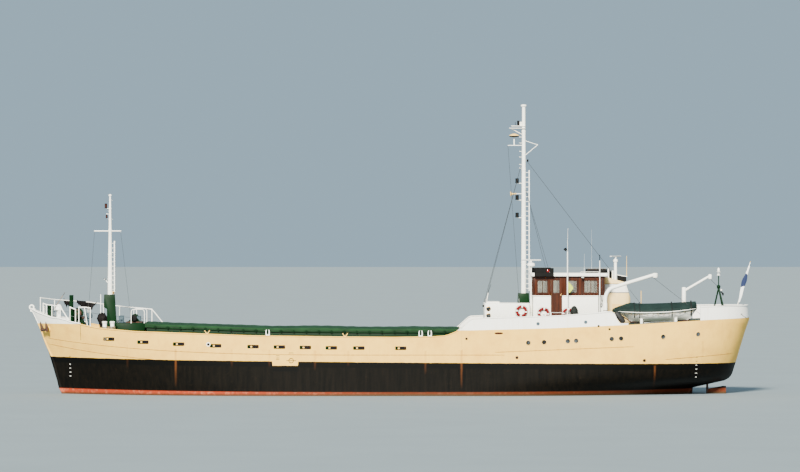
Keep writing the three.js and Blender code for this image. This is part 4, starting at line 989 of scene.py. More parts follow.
def row_tree():
    """Sets an item along a path, every so far, its X along the path, and upright where it is asked to be."""
    tree = bpy.data.node_groups.new("row along a path", "GeometryNodeTree")
    for name, kind in [
        ("Path", "NodeSocketGeometry"), ("Item", "NodeSocketObject"), ("Spacing", "NodeSocketFloat"),
        ("Upright", "NodeSocketBool"), ("Unevenness", "NodeSocketFloat"), ("Seed", "NodeSocketInt"),
        ("Finish", "NodeSocketMaterial"),
    ]:
        tree.interface.new_socket(name, in_out="INPUT", socket_type=kind)
    tree.interface.new_socket("Row", in_out="OUTPUT", socket_type="NodeSocketGeometry")
    given = add(tree, "NodeGroupInput").outputs
    curve = add(tree, "GeometryNodeMeshToCurve", {"Mesh": given["Path"]})
    points = add(
        tree, "GeometryNodeResampleCurve", {"Curve": curve, "Length": given["Spacing"]}, mode="LENGTH"
    )
    way = add(tree, "GeometryNodeInputNamedAttribute", {"Name": "way"}, data_type="FLOAT_VECTOR")
    way = next(socket for socket in way.outputs if socket.enabled)
    flat = add(tree, "FunctionNodeAlignRotationToVector", {"Vector": way}, axis="X", pivot_axis="Z")
    free = add(tree, "FunctionNodeAlignRotationToVector", {"Vector": way}, axis="X", pivot_axis="AUTO")
    turn = add(tree, "GeometryNodeSwitch", {"Switch": given["Upright"]}, input_type="ROTATION")
    tree.links.new(free.outputs[0], turn.inputs["False"])
    tree.links.new(flat.outputs[0], turn.inputs["True"])
    least = add(tree, "ShaderNodeMath", {0: 1.0, 1: given["Unevenness"]}, operation="SUBTRACT")
    most = add(tree, "ShaderNodeMath", {0: 1.0, 1: given["Unevenness"]}, operation="ADD")
    size = add(tree, "FunctionNodeRandomValue", {"Seed": given["Seed"]}, data_type="FLOAT")
    ends = [socket for socket in size.inputs if socket.enabled and socket.name in ("Min", "Max")]
    tree.links.new(least.outputs[0], ends[0])
    tree.links.new(most.outputs[0], ends[1])
    item = add(tree, "GeometryNodeObjectInfo", {"Object": given["Item"]})
    copies = add(tree, "GeometryNodeInstanceOnPoints", {
        "Points": points, "Instance": item.outputs["Geometry"], "Rotation": turn.outputs[0],
        "Scale": next(socket for socket in size.outputs if socket.enabled),
    })
    real = add(tree, "GeometryNodeRealizeInstances", {"Geometry": copies})
    dressed = add(tree, "GeometryNodeSetMaterial", {"Geometry": real, "Material": given["Finish"]})
    add(tree, "NodeGroupOutput", {"Row": dressed})
    return tree


ROW = row_tree()
ROW_SOCKETS = {item.name: item.identifier for item in ROW.interface.items_tree if item.in_out == "INPUT"}


def row(name, paths, item, spacing, finish, body="ship", slot=None, upright=True, uneven=0.0, sharp=35):
    """A piece made of like items along paths of points."""
    mesh = bpy.data.meshes.new(name)
    points, edges, ways = [], [], []
    for path in paths:
        path = [Vector(p) for p in path]
        edges += [(len(points) + i, len(points) + i + 1) for i in range(len(path) - 1)]
        for i, p in enumerate(path):
            points.append(p)
            ways.append(path[min(i + 1, len(path) - 1)] - path[max(i - 1, 0)])
    mesh.from_pydata(points, edges, [])
    layer = mesh.attributes.new("way", "FLOAT_VECTOR", "POINT")
    for i, way in enumerate(ways):
        layer.data[i].vector = way.normalized()
    made = placed_in_scene(name, mesh)
    pattern = make_plain("item", [item])
    nodes = made.modifiers.new("row", "NODES")
    nodes.node_group = ROW
    values = {
        "Item": pattern, "Spacing": spacing, "Upright": upright, "Unevenness": uneven, "Seed": 7,
        "Finish": finish,
    }
    for key, value in values.items():
        nodes[ROW_SOCKETS[key]] = value
    finished(made)
    bpy.data.objects.remove(pattern)
    smoothed(made, sharp)
    return dress(made, body, slot)


def keep(node, finish, edge=0.006, sharp=30):
    """Dresses one of the model's solids as it stands, its edges slightly rounded."""
    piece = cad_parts[node]
    piece.data.materials.clear()
    piece.data.materials.append(finish)
    welded = piece.modifiers.new("joined", "WELD")
    welded.merge_threshold = 0.0002
    rounded = piece.modifiers.new("rounded", "BEVEL")
    rounded.width, rounded.segments, rounded.limit_method = edge, 2, "ANGLE"
    smoothed(piece, sharp)


def stanchion(x, y, foot, top, r=0.018):
    """A post on a small round foot."""
    return turned(
        [(0.05, 0.0), (0.05, 0.012), (r, 0.018), (r, top - foot), (r * 0.7, top - foot)], (x, y, foot)
    )


def bolts(centre, radius, way, count=6, size=0.012):
    """Bolt heads in a ring."""
    way = Vector(way).normalized()
    side = way.orthogonal()
    ring = circle(centre, radius, side, way.cross(side), count)
    return [turned([(size, -0.004), (size, size * 0.8), (size * 0.6, size)], p, way, 6) for p in ring]


# The hull, with the shaft's boss and the sole piece under the rudder.
SHAFT_Z = -0.95
SOLE = {"aft": -16.18, "fore": -14.9, "half": 0.07, "low": -1.762}
plating, decks = hull_shell()
boss = turned([(0.14, 0), (0.15, 0.02), (0.16, 0.5), (0.1, 1.08)], (-15.08, 0, SHAFT_Z), (1, 0, 0))
sole = block(
    (SOLE["aft"], -SOLE["half"], SOLE["low"]), (SOLE["fore"], SOLE["half"], SOLE["low"] + 0.15), 0.03
)
gudgeon = turned([(0.11, 0), (0.11, 0.12), (0.09, 0.14)], (-15.93, 0, SOLE["low"] + 0.05))
make(
    "hull_plating",
    of(HULL_PAINT, plating) + of(DECK, decks) + of(HULL_PAINT, boss, sole, gudgeon),
    "hull_paint", "hull",
)

# Bulwarks, their caps, ports and stays.
FREEING_PORTS = [
    (13.9, 2.79), (12.18, 2.65), (10.4, 2.56), (8.57, 2.48), (6.72, 2.44),
    (5.42, 2.42), (4.14, 2.4), (2.86, 2.38), (1.5, 2.37), (-0.56, 2.36),
]
PORT_HALF = (0.285, 0.09)
side_stations = [POOP_BREAK + 0.003 + (FORE_BREAK - 0.023 - POOP_BREAK) * i / 110 for i in range(111)]
bulwark = side_wall(side_stations, lambda x: deck_at(x) + 0.0005, lambda x: line_at(BULWARK_TOP, x))
port_holes = [
    prism(rounded_outline(x - wide, x + wide, z - high, z + high, 0.04), 2, 3.9)
    for wide, high in (PORT_HALF,) for x, z in FREEING_PORTS
]
shutters = []
for x, z in FREEING_PORTS:
    side, _ = on_hull(z, x - 0.1, -0.032)
    along = (on_hull(z, x + 0.2)[0] - on_hull(z, x - 0.3)[0]).normalized()
    turn = Matrix.Translation(side) @ Vector((1, 0, 0)).rotation_difference(along).to_matrix().to_4x4()
    # The black flap is painted shade: a dark plate that stands for the shadow seen through the port.
    flap = block((-0.28, -0.006, -0.086), (0.28, 0.006, 0.084), 0.004)
    hinge = tube([(-0.29, 0.006, 0.075), (0.29, 0.006, 0.075)], 0.01, 8)
    bar = tube([(-0.1, 0.008, -0.1), (-0.1, 0.008, 0.1)], 0.009, 8)
    lug = block((0.15, 0.004, -0.04), (0.23, 0.016, 0.035), 0.003)
    shutters += [
        (placed(flap, turn), BLACK), (placed(lug, turn), CREAM), (placed(hinge, turn), IRON),
        (placed(bar, turn), BROWN),
    ]
for name, turn in TURNS.items():
    make(
        f"bulwark_plate_{name}", [(turn(bulwark[0]), BULWARK_PAINT)], "hull_paint",
        f"bulwark_{name}", cutter=[turn(hole) for hole in port_holes],
    )
    make(f"bulwark_cap_{name}", [(turn(bulwark[1]), BULWARK_PAINT)], "hull_paint")
    make(f"freeing_port_flaps_{name}", [(turn(form), finish) for form, finish in shutters], "hull_paint")
stay = prism([(0, 0), (-0.3, 0), (-0.3, 0.04), (-0.03, 0.5), (0, 0.52)], -0.006, 0.006, "x")
inside = side_line([x for x in side_stations if -3.2 < x < 15.2], lambda x: deck_at(x) + 0.003)
inside = [p + way * (PLATE - 0.002) for p, way in zip(inside, inward(inside))]
other = mirrored((inside, []))[0][::-1]
row("bulwark_stays", [inside, other], stay, 0.9, BULWARK_PAINT, slot="hull_paint")

poop_stations = [-11.8 + (POOP_BREAK - 0.006 + 11.8) * i / 60 for i in range(61)]
poop = side_wall(poop_stations, lambda x: deck_at(x) + 0.0005, lambda x: line_at(POOP_BULWARK_TOP, x))
for name, turn in TURNS.items():
    make(
        f"poop_bulwark_plate_{name}", [(turn(form), BULWARK_PAINT) for form in poop], "white_paint",
        f"poop_bulwark_{name}",
    )
stern = side_wall(
    eased(-15.4, TIPS[AFT_END], 40)[::-1], lambda x: deck_at(x) + 0.0005,
    lambda x: line_at(STERN_BULWARK_TOP, x), round_stern,
)
stern_eye = prism(rounded_outline(-17.58, -17.46, 3.98, 4.05, 0.034), 0.3, 2.5)
make(
    "stern_bulwark_plate", [(form, BULWARK_PAINT) for form in stern], "white_paint",
    "stern_bulwark", cutter=[stern_eye, mirrored(stern_eye)],
)
bow = side_wall(
    eased(FORE_BREAK + 0.005, TIPS[STEM_END], 40), lambda x: FORE_DECK + 0.0005,
    lambda x: line_at(BOW_BULWARK_TOP, x), round_bow,
)
bullnose = hoop((17.93, 0, 4.33), 0.105, 0.038, 12, 28)
neck = block((17.74, -0.05, 4.1), (18, 0.05, 4.26), 0.02)
parts = of(BULWARK_PAINT, *bow) + of(WHITE, bullnose, neck)
make("bow_bulwark_plate", parts, "white_paint", "bow_bulwark")

# Edges of the plates that lap, as beads along the side.
beads = []
for factors, aft, fore in SEAMS:
    path = []
    for i in range(41):
        x = aft + (fore - aft) * i / 40
        h = 0
        for factor in factors:
            h = h * x + factor
        if h < deck_at(x) - 0.05 and x < row_at(h)[STEM_END] - 0.1:
            path.append(on_hull(h, x, -0.002)[0])
    beads += of(HULL_PAINT, tube(path, 0.007, 6))
make("plate_edges", both_sides(beads), "hull_paint")

# Rails round the fore deck: x, z and whether a post stands there.
RAILS = {
    "bow_rail_port_1": [
        (17.33, 4.53, 1), (17.15, 4.47, 1), (16.85, 4.45, 1), (16.4, 4.37, 1), (15.96, 3.72, 1)
    ],
    "bow_rail_port_2": [(15.89, 4.36, 1), (15.6, 4.25, 1)],
    "bow_rail_port_3": [(15.43, 4.36, 1), (15.08, 4.36, 0), (14.83, 4.33, 1)],
    "bow_rail_starboard": [
        (17.5, 4.8, 1), (16.85, 4.7, 1), (16.05, 4.63, 1), (15.25, 4.56, 1), (14.5, 4.45, 1),
        (13.7, 4.34, 1), (12.85, 4.25, 1), (12.08, 4.18, 1), (11.3, 3.205, 0),
    ],
}


def rail_foot(x):
    """Where a rail's post stands at an x, port side: on the fore deck, or on the bulwark's cap."""
    foot = FORE_DECK if x > FORE_BREAK else line_at(BULWARK_TOP, x)
    return Vector((x, breadth(foot, x) - (0.13 if x > FORE_BREAK else 0.015), foot + 0.001))


for name, run in RAILS.items():
    side = -1 if name.endswith("starboard") else 1
    heads = []
    parts = []
    for x, z, post in run:
        foot = rail_foot(x)
        heads.append(Vector((x, side * foot.y, z)))
        if post:
            post_form = stanchion(x, side * foot.y, foot.z, z, 0.022)
            parts += of(WHITE, post_form, ball((x, side * foot.y, z), 0.03, 10))
    parts += of(WHITE, tube(bent(heads, 0.12), 0.027, 10))
    if name != "bow_rail_port_1":
        middle = [Vector((p.x, p.y, (p.z + rail_foot(p.x).z) / 2)) for p in heads if p.x > 12]
        parts += of(ZINC, tube(middle, 0.009, 6))
    make(name + "_bars", parts, "white_paint", name)
# Slanting struts of the port rails: x and z of the head, x of the foot.
RAIL_STRUTS = [(16.4, 4.36, 16.72), (15.13, 4.34, 14.98)]
struts = []
for x, z, foot_x in RAIL_STRUTS:
    foot = rail_foot(foot_x)
    struts += of(WHITE, tube([Vector((x, rail_foot(x).y, z)), foot], 0.02, 10))
make("bow_rail_struts", struts, "white_paint")

# Rudder and screw.
STOCK_X = -15.93
blade_rings = []
for z, aft, fore, thick in [
    (-1.57, -16.75, -15.94, 0.05), (-1.5, -16.84, -15.9, 0.08), (-0.8, -16.87, -15.9, 0.09),
    (-0.1, -16.87, -15.9, 0.09), (0.24, -16.87, -15.92, 0.08), (0.3, -16.87, -16.2, 0.06),
    (0.39, -16.87, -16.7, 0.03),
]:
    half_foil = [(0, 0), (0.06, 0.6), (0.2, 0.95), (0.4, 1), (0.7, 0.6), (1, 0.08)]
    foil = half_foil + [(u, -v) for u, v in half_foil[:0:-1]]
    blade_rings.append([Vector((fore + (aft - fore) * u, thick / 2 * v, z)) for u, v in foil])
stock = turned([(0.058, 0), (0.058, 2.45), (0.09, 2.46), (0.09, 2.54)], (STOCK_X, 0, -1.57))
heel = turned([(0.036, 0), (0.038, 0.12)], (STOCK_X, 0, -1.64))
straps = [
    block((-16.5, -0.055, z - 0.04), (-15.95, 0.055, z + 0.04), 0.012) for z in (-1.2, -0.5, 0.12)
]
parts = of(HULL_PAINT, loft(blade_rings)) + of(IRON, stock, heel) + of(HULL_PAINT, *straps)
make("rudder_blade", parts, "antifouling", "rudder", "rudder")
SCREW = {"x": -15.36, "r": 0.625, "blades": 4, "pitch": 0.62}
hub = [(0, -0.2), (0.05, -0.185), (0.095, -0.12), (0.125, 0), (0.13, 0.15)]
shaft = [(SCREW["x"] + 0.1, 0, SHAFT_Z), (SCREW["x"] + 0.5, 0, SHAFT_Z)]
screw = of(BRONZE, turned(hub, (SCREW["x"], 0, SHAFT_Z), (1, 0, 0), 24)) + of(ZINC, tube(shaft, 0.05, 16))
foil = [
    (-0.5, 0.02), (-0.3, 0.42), (0, 0.55), (0.3, 0.38), (0.5, 0.02), (0.3, -0.1), (0, -0.12), (-0.3, -0.08)
]
for i in range(SCREW["blades"]):
    angle = 2 * pi * i / SCREW["blades"]
    rings = []
    for share, chord, thick in [
        (0.15, 0.17, 0.04), (0.3, 0.24, 0.034), (0.45, 0.3, 0.028), (0.6, 0.335, 0.024),
        (0.75, 0.34, 0.02), (0.86, 0.3, 0.016), (0.93, 0.24, 0.013), (0.98, 0.16, 0.011), (1, 0.1, 0.01),
    ]:
        radius = SCREW["r"] * share
        twist = atan2(SCREW["pitch"] * SCREW["r"] * 2, 2 * pi * radius)
        ring = []
        for u, v in foil:
            along, off = u * chord, v * thick
            x = SCREW["x"] + along * sin(twist) - off * cos(twist)
            tangent = along * cos(twist) + off * sin(twist)
            ring.append(Vector((
                x, tangent * cos(angle) - radius * sin(angle),
                SHAFT_Z + tangent * sin(angle) + radius * cos(angle),
            )))
        rings.append(ring)
    screw += of(BRONZE, loft(rings))
make("screw", screw, "bronze", "propeller", "propeller")

# Anchors housed in the hawses, each with its bolster on the plating.
# A fluke's height, half its width and half its depth, from the crown to the tip.
FLUKE = [
    (-0.09, 0.06, 0.05), (0, 0.09, 0.075), (0.12, 0.085, 0.06), (0.26, 0.06, 0.04), (0.36, 0.03, 0.025),
    (0.42, 0.008, 0.01),
]
HAWSE = {"x": 17.06, "z": 3.27, "turn": 0.88, "dip": 0.22}


def hawse_frame(side):
    """Axes at the hawse's mouth: out, along and up."""
    mouth, _ = on_hull(HAWSE["z"], HAWSE["x"])
    turn, dip = HAWSE["turn"], HAWSE["dip"]
    out = Vector((sin(turn) * cos(dip), cos(turn) * cos(dip), -sin(dip)))
    mouth, out = Vector((mouth.x, side * mouth.y, mouth.z)), Vector((out.x, side * out.y, out.z))
    along = Vector((0, 0, 1)).cross(out).normalized()
    return mouth, out, along, out.cross(along).normalized()


for name, side in SIDES.items():
    mouth, out, along, up = hawse_frame(side)

    def at(o, a, u):
        """A point so far out, along and up from the hawse's mouth."""
        return mouth + out * o + along * a + up * u

    bolster = ring_form(
        [(0.13, -0.03), (0.2, -0.03), (0.185, 0.03), (0.15, 0.045), (0.125, 0.02)], mouth, out, 28
    )
    make(f"hawse_bolster_{name}", [(bolster, HULL_PAINT)], "hull_paint")
    shank = tube([at(-0.3, 0, 0), at(0.2, 0, 0), at(0.24, 0, 0)], [0.045, 0.055, 0.05], 12)
    crown = tube([at(0.23, a, 0) for a in (-0.25, -0.23, 0.23, 0.25)], [0.05, 0.068, 0.068, 0.05], 12)
    parts = of(IRON, shank, crown)
    for a in (-0.21, 0.21):
        rings = []
        for u, wide, deep in FLUKE:
            centre = at(0.23 - 0.03 * u, a * (1 + 0.3 * max(u, 0)), u)
            turns = [2 * pi * j / 10 for j in range(10)]
            rings.append([centre + along * wide * cos(t) + out * deep * sin(t) for t in turns])
        parts += of(IRON, loft(rings))
    make(f"anchor_{name}_iron", parts, "anchor_iron", f"anchor_{name}", sharp=40)

# Windlass: gear wheel, chain lifters with brakes, warping ends, side frames.
WINDLASS = {"x": 15.62, "shaft": 0.52}


def warping_end(x, y0, y1, z, r, deep=0.028):
    """A drum end: flanged, its barrel drawn in."""
    way = (0, 1 if y1 > y0 else -1, 0)
    long = abs(y1 - y0)
    profile = [
        (r * 0.9, 0), (r, 0.01), (r, 0.03), (r - deep, 0.05), (r - deep * 1.5, long * 0.5),
        (r - deep, long - 0.07), (r * 1.2, long - 0.035), (r * 1.26, long - 0.02), (r * 1.2, long),
        (0.03, long + 0.004), (0, long + 0.004),
    ]
    return turned(profile, (x, y0, z), way, 28)


def cheek(x, foot, shoulder, head):
    """The outline of a side frame that carries a shaft."""
    corners = ((-0.33, foot), (0.33, foot), (0.1, shoulder), (0.05, head), (-0.05, head), (-0.1, shoulder))
    return [(x + u, z) for u, z in corners]


def gear(x, y0, y1, z, r, teeth):
    """A toothed wheel."""
    outline = []
    for i in range(teeth):
        for share, radius in ((0, r), (0.25, r), (0.38, r - 0.025), (0.87, r - 0.025)):
            t = 2 * pi * (i + share) / teeth
            outline.append((x + radius * cos(t), z + radius * sin(t)))
    return prism(outline, y0, y1)


x, z = WINDLASS["x"], FORE_DECK + WINDLASS["shaft"]
frame_side = cheek(x, FORE_DECK + 0.06, z + 0.06, z + 0.11)
parts = of(
    GREEN, block((x - 0.38, -0.42, FORE_DECK + 0.0005), (x + 0.38, 0.42, FORE_DECK + 0.07), 0.01),
    *[prism(frame_side, y, y + 0.035) for y in (-0.33, 0.295)],
)
parts += of(IRON, tube([(x, -0.76, z), (x, 0.76, z)], 0.05, 16))
parts += of(GREEN, *[warping_end(x, side * 0.47, side * 0.72, z, 0.13) for side in (-1, 1)])
parts += of(GREEN, gear(x, -0.045, 0.045, z, 0.3, 42))
parts += of(
    IRON, gear(x - 0.26, -0.05, 0.05, FORE_DECK + 0.3, 0.1, 14),
    tube([(x - 0.26, -0.33, FORE_DECK + 0.3), (x - 0.26, 0.33, FORE_DECK + 0.3)], 0.03, 12),
)
for side in (-1, 1):
    lifter = [
        (0.2, 0), (0.21, 0.012), (0.16, 0.035), (0.13, 0.06), (0.16, 0.085), (0.21, 0.108), (0.2, 0.12)
    ]
    drum = [(0.175, 0), (0.19, 0.004), (0.19, 0.05), (0.175, 0.054)]
    parts += of(
        IRON, turned(lifter, (x, side * 0.08, z), (0, side, 0), 10),
        turned(drum, (x, side * 0.215, z), (0, side, 0), 32),
    )
    brake = tube([(x + 0.18, side * 0.24, FORE_DECK + 0.1), (x + 0.2, side * 0.24, z + 0.2)], 0.012, 8)
    hub, reach = Vector((x + 0.205, side * 0.24, z + 0.21)), 0.09
    spokes = [
        tube([hub + Vector(way) * reach, hub - Vector(way) * reach], 0.006, 6)
        for way in ((1, 0, 0), (0, 1, 0))
    ]
    parts += of(GREEN, brake, hoop(hub, reach, 0.011, 8, 20, True), *spokes)
    # Turns of a mooring rope left round the warping end.
    turns = [
        (x + 0.125 * cos(t), side * (0.56 + 0.0045 * t), z + 0.125 * sin(t))
        for t in [0.35 * k for k in range(72)]
    ]
    parts += of(ROPE, tube(turns, 0.016, 8))
for y in (-0.38, 0.38):
    parts += of(IRON, *bolts((x, y, FORE_DECK + 0.07), 0.3, (0, 0, 1), 2, 0.018))
make("windlass_gear", parts, "green_paint", "windlass")

# Chain from each lifter to its hawse.
link = tube(
    [(0.035 * cos(t), 0.021 * sin(t), 0) for t in [pi * k / 6 for k in range(12)]], 0.0075, 6, closed=True
)
turned_link = placed(link, Matrix.Rotation(pi / 2, 4, "X"))
link_pair = joined([link, ([p + Vector((0.048, 0, 0)) for p in turned_link[0]], turned_link[1])])
chains = []
for side in (-1, 1):
    over = [(x + 0.2, side * 0.14, z + 0.02), (x + 0.42, side * 0.17, FORE_DECK + 0.12)]
    chains.append(bent(over + [(16.6, side * 0.4, FORE_DECK + 0.06)], 0.2, 8))
row("anchor_chains", chains, link_pair, 0.096, IRON, slot="anchor_iron", upright=False)
mouth = [(0.1, 0), (0.1, 0.05), (0.085, 0.08), (0.06, 0.08), (0.06, 0)]
pipes = [(turned(mouth, (16.63, side * 0.41, FORE_DECK + 0.001)), IRON) for side in (-1, 1)]
make("chain_pipes", pipes, "anchor_iron")

# Vents and the locker at the bow.
PIPE = Vector((15.9, 0.56, FORE_DECK + 0.001))
pipe = turned(
    [(0.105, 0), (0.105, 1.4), (0.108, 1.41), (0.108, 1.445), (0.095, 1.449), (0.09, 1.2), (0, 1.2)], PIPE,
    sides=28,
)
flange = turned([(0.165, 0), (0.165, 0.015), (0.11, 0.02)], PIPE, sides=28)
parts = of(GREEN, pipe, flange) + of(IRON, *bolts(PIPE + Vector((0, 0, 0.016)), 0.14, (0, 0, 1)))
bend = [PIPE + Vector(at) for at in ((0, 0.1, 0.7), (0, 0.15, 0.7), (0, 0.15, 0.78))]
parts += of(IRON, tube(bend, 0.01, 8))
make("bow_vent_pipe_steel", parts, "green_paint", "bow_vent_pipe")
cowl_x, cowl_y = 16.54, 0.33
cowl = [
    (0.15, 0), (0.15, 0.02), (0.12, 0.03), (0.112, 0.62), (0.125, 0.64), (0.125, 0.67), (0.19, 0.7),
    (0.185, 0.76), (0.14, 0.88), (0.07, 0.97), (0, 0.985),
]
parts = of(WHITE, turned(cowl, (cowl_x, cowl_y, FORE_DECK + 0.001), sides=28))
for s in (-1, 1):
    foot = (cowl_x + 0.1, cowl_y + s * 0.09, FORE_DECK)
    parts += of(WHITE, tube([foot, (cowl_x + 0.02, cowl_y + s * 0.1, FORE_DECK + 0.6)], 0.012, 8))
make("bow_cowl_vent_steel", parts, "white_paint", "bow_cowl_vent")
deck_vent_foot = deck_at(14.96) + 0.001
vent = [
    (0.19, 0), (0.19, 0.02), (0.13, 0.03), (0.13, 1.12), (0.19, 1.14), (0.2, 1.28), (0.17, 1.36),
    (0.05, 1.385), (0, 1.385),
]
parts = of(
    GREY, turned(vent, (14.96, 1.72, deck_vent_foot), sides=32),
    hoop((14.96, 1.72, deck_vent_foot + 1.2), 0.2, 0.008, 6, 28, True),
)
make("deck_vent_steel", parts, "grey_paint", "deck_vent")
parts = of(
    GREEN, block((16.88, -0.33, FORE_DECK + 0.001), (17.12, 0.33, 4.44), 0.01),
    block((16.87, -0.34, 4.44), (17.13, 0.34, 4.479), 0.01),
    *[block((16.872, y - 0.004, 3.62), (16.88, y + 0.3, 4.36), 0.002) for y in (-0.31, 0.01)],
)
parts += of(ZINC, *[tube([(16.86, y, 3.95), (16.86, y, 4.07)], 0.008, 8) for y in (-0.05, 0.05)])
make("bow_locker_steel", parts, "green_paint", "bow_locker")

# Bitts, with turns of rope left on the port pair.
BITTS = {"x": 13.95, "y": 1.96, "apart": 0.19}
BITT_POST = [
    (0.13, 0.05), (0.105, 0.09), (0.1, 0.2), (0.1, 0.93), (0.125, 0.965), (0.13, 1.03), (0.1, 1.05),
    (0, 1.05)
]
deck = deck_at(BITTS["x"])
for name, side in SIDES.items():
    y = side * BITTS["y"]
    low, high = (BITTS["x"] - 0.38, y - 0.17, deck - 0.01), (BITTS["x"] + 0.38, y + 0.17, deck + 0.06)
    parts = of(WHITE, block(low, high, 0.015))
    for dx in (-BITTS["apart"], BITTS["apart"]):
        parts += of(WHITE, turned(BITT_POST, (BITTS["x"] + dx, y, deck), sides=28))
    path = []
    for k in range(120):
        t = k / 120 * 2 * pi * 5
        figure = Vector((BITTS["x"] + 0.335 * sin(t), y + 0.14 * sin(2 * t), deck + 0.5 + 0.3 * k / 120))
        path.append(figure)
    if side > 0:
        parts += of(ROPE, tube(path, 0.02, 8))
    make(f"bitts_fore_{name}_steel", parts, "white_paint", f"bitts_fore_{name}")

# Cargo winch on the mast house.
x, bed = 12.76, 3.561
z = bed + 0.25
frame_side = cheek(x, bed + 0.05, z + 0.03, z + 0.07)
parts = [
    (block((x - 0.4, -0.64, bed), (x + 0.4, 0.64, bed + 0.06), 0.01), IRON),
    *[(prism(frame_side, y, y + 0.035), GREEN) for y in (-0.52, 0.485)],
    (tube([(x, -0.8, z), (x, 0.8, z)], 0.045, 16), IRON), (gear(x, 0.3, 0.36, z, 0.19, 32), GREEN),
    *[(warping_end(x, side * 0.56, side * 0.8, z, 0.12), BLACK) for side in (-1, 1)],
]
drum = [(0.19, 0), (0.19, 0.03), (0.1, 0.034), (0.1, 0.616), (0.14, 0.62), (0.14, 0.65)]
wound = [
    (x + 0.11 * cos(t), -0.29 + 0.0024 * t, z + 0.11 * sin(t)) for t in [0.3 * k for k in range(720)]
]
parts += [
    (turned(drum, (x, -0.35, z), (0, 1, 0), 36), GREEN), (tube(wound, 0.008, 6), WIRE),
    (block((x - 0.33, 0.2, bed + 0.05), (x - 0.13, 0.47, bed + 0.34), 0.02), GREY),
]
make("cargo_winch_gear", parts, "anchor_iron", "cargo_winch")
keep("mast_house", GREEN, 0.012)

# The hatch: its steel coaming, and the tarpaulin battened down over the boards.
HATCH = {"aft": -3.4, "fore": 12.05, "half": 2.1, "lap": 0.08, "cover": 0.19}
HATCH_TOP = [(-3.5, 3.29), (1, 3.29), (6, 3.33), (11, 3.5), (12.2, 3.56)]
keep("hatch_coaming", GREEN, 0.01)
edge, fore_edge, aft_edge = (
    HATCH[end] + way * HATCH["lap"] for end, way in (("half", 1), ("fore", 1), ("aft", -1))
)


def cloth_height(x, y):
    """The tarpaulin over its boards: a low crown, boards that show through, and slack between battens."""
    rise = line_at(HATCH_TOP, x) + 0.07 * (1 - (y / HATCH["half"]) ** 2)
    boards = 0.006 * cos(2 * pi * x / 0.62) + 0.012 * noise.noise(Vector((x * 1.3, y * 1.1, 0)))
    hump = 0.035 * exp(-((x - 3.6) / 1.1) ** 2) + 0.02 * exp(-((x + 1.2) / 0.7) ** 2)
    return rise + boards + hump


rings = []
for i in range(241):
    x = aft_edge + (fore_edge - aft_edge) * i / 240
    slack = 0.012 * noise.noise(Vector((x * 2.2, 3, 0)))
    top = line_at(HATCH_TOP, x)
    skirt = [
        (edge + 0.004 + slack * (1 - k / 4), top - HATCH["cover"] + 0.004 + (HATCH["cover"] - 0.05) * k / 4)
        for k in range(5)
    ]
    over = [(y, cloth_height(x, y)) for y in [edge - 0.02 - (edge - 0.02) * k / 12 for k in range(25)]]
    side = skirt + over + [(-y, z) for y, z in reversed(skirt)]
    outer = [Vector((x, y, z)) for y, z in side]
    middle = Vector((x, 0, top - 0.4))
    inner = [p + (middle - p).normalized() * 0.004 for p in outer]
    rings.append(outer + inner[::-1])
tarpaulin = make("hatch_tarpaulin", [(loft(rings), TARPAULIN)], "tarpaulin", "hatch_cover", sharp=50)
ends = []
for x, way in ((aft_edge - 0.002, -1), (fore_edge + 0.002, 1)):
    top = line_at(HATCH_TOP, x)
    low = top - HATCH["cover"] + 0.004
    across = [-edge + 2 * edge * k / 24 for k in range(25)]
    outline = [(-edge, low)] + [(y, cloth_height(x, y) - 0.001) for y in across] + [(edge, low)]
    ends += of(TARPAULIN, prism(outline, x, x + way * 0.004, "x"))
flaps = make("hatch_tarpaulin_ends", ends, "tarpaulin")
batten_line = [
    (x, edge + 0.014, line_at(HATCH_TOP, x) - 0.13) for x in [aft_edge + 0.1 + 0.5 * k for k in range(31)]
]
make("hatch_battens", both_sides(of(GREEN, tube(batten_line, 0.016, 6))), "green_paint")
cleat = prism(
    [(-0.02, -0.09), (0.05, -0.09), (0.05, 0.06), (0.035, 0.06), (0.03, -0.05), (-0.02, -0.05)], -0.025,
    0.025, "x",
)
cleat_paths = [
    [(x, s * edge, z) for x, y, z in (batten_line if s > 0 else batten_line[::-1])] for s in (1, -1)
]
row("hatch_cleats", cleat_paths, cleat, 0.61, GREEN, slot="green_paint")
wedge = block((-0.07, 0.018, -0.02), (0.07, 0.045, 0.02), 0.006)
row("hatch_wedges", cleat_paths, wedge, 0.61, GREEN, slot="green_paint", uneven=0.2)

# Masts. Each is a tapered pole on its pin in a tabernacle.
for node in ("foremast_tabernacle", "mainmast_tabernacle"):
    keep(node, GREEN, 0.008)
FOREMAST = {"x": 14, "pin": 4.78, "heel": 4.33, "top": 10, "foot": 0.125, "head": 0.042}
MAINMAST = {"x": -6.73, "pin": 4.85, "heel": 4.64, "top": 14.5, "foot": 0.124, "head": 0.082}


def pole(mast):
    """The tapered pole with its heel, collars and cap, and the pin that it turns on."""
    x, pin, foot, head = mast["x"], mast["pin"], mast["foot"], mast["head"]
    taper = lambda z: foot + (head - foot) * max(0, z - pin - 0.3) / (mast["top"] - pin - 0.3)
    profile = [(foot * 0.8, mast["heel"]), (foot, mast["heel"] + 0.03)]
    long = mast["top"] - pin
    for share in (0.18, 0.42, 0.66, 0.86):
        z = pin + long * share
        profile += [
            (taper(z), z - 0.03), (taper(z) + 0.012, z - 0.025), (taper(z) + 0.012, z + 0.025),
            (taper(z), z + 0.03),
        ]
    top = mast["top"]
    profile += [
        (head, top - 0.12), (head * 1.7, top - 0.1), (head * 1.8, top - 0.03), (head, top - 0.01), (0, top)
    ]
    pin_bar = [
        (0.02, 0), (0.045, 0.004), (0.045, 0.03), (0.028, 0.034), (0.028, 0.32), (0.045, 0.324),
        (0.045, 0.35), (0.02, 0.354),
    ]
    return of(WHITE, turned(profile, (x, 0, 0), sides=32)), of(
        ZINC, turned(pin_bar, (x, -0.177, pin), (0, 1, 0))
    )


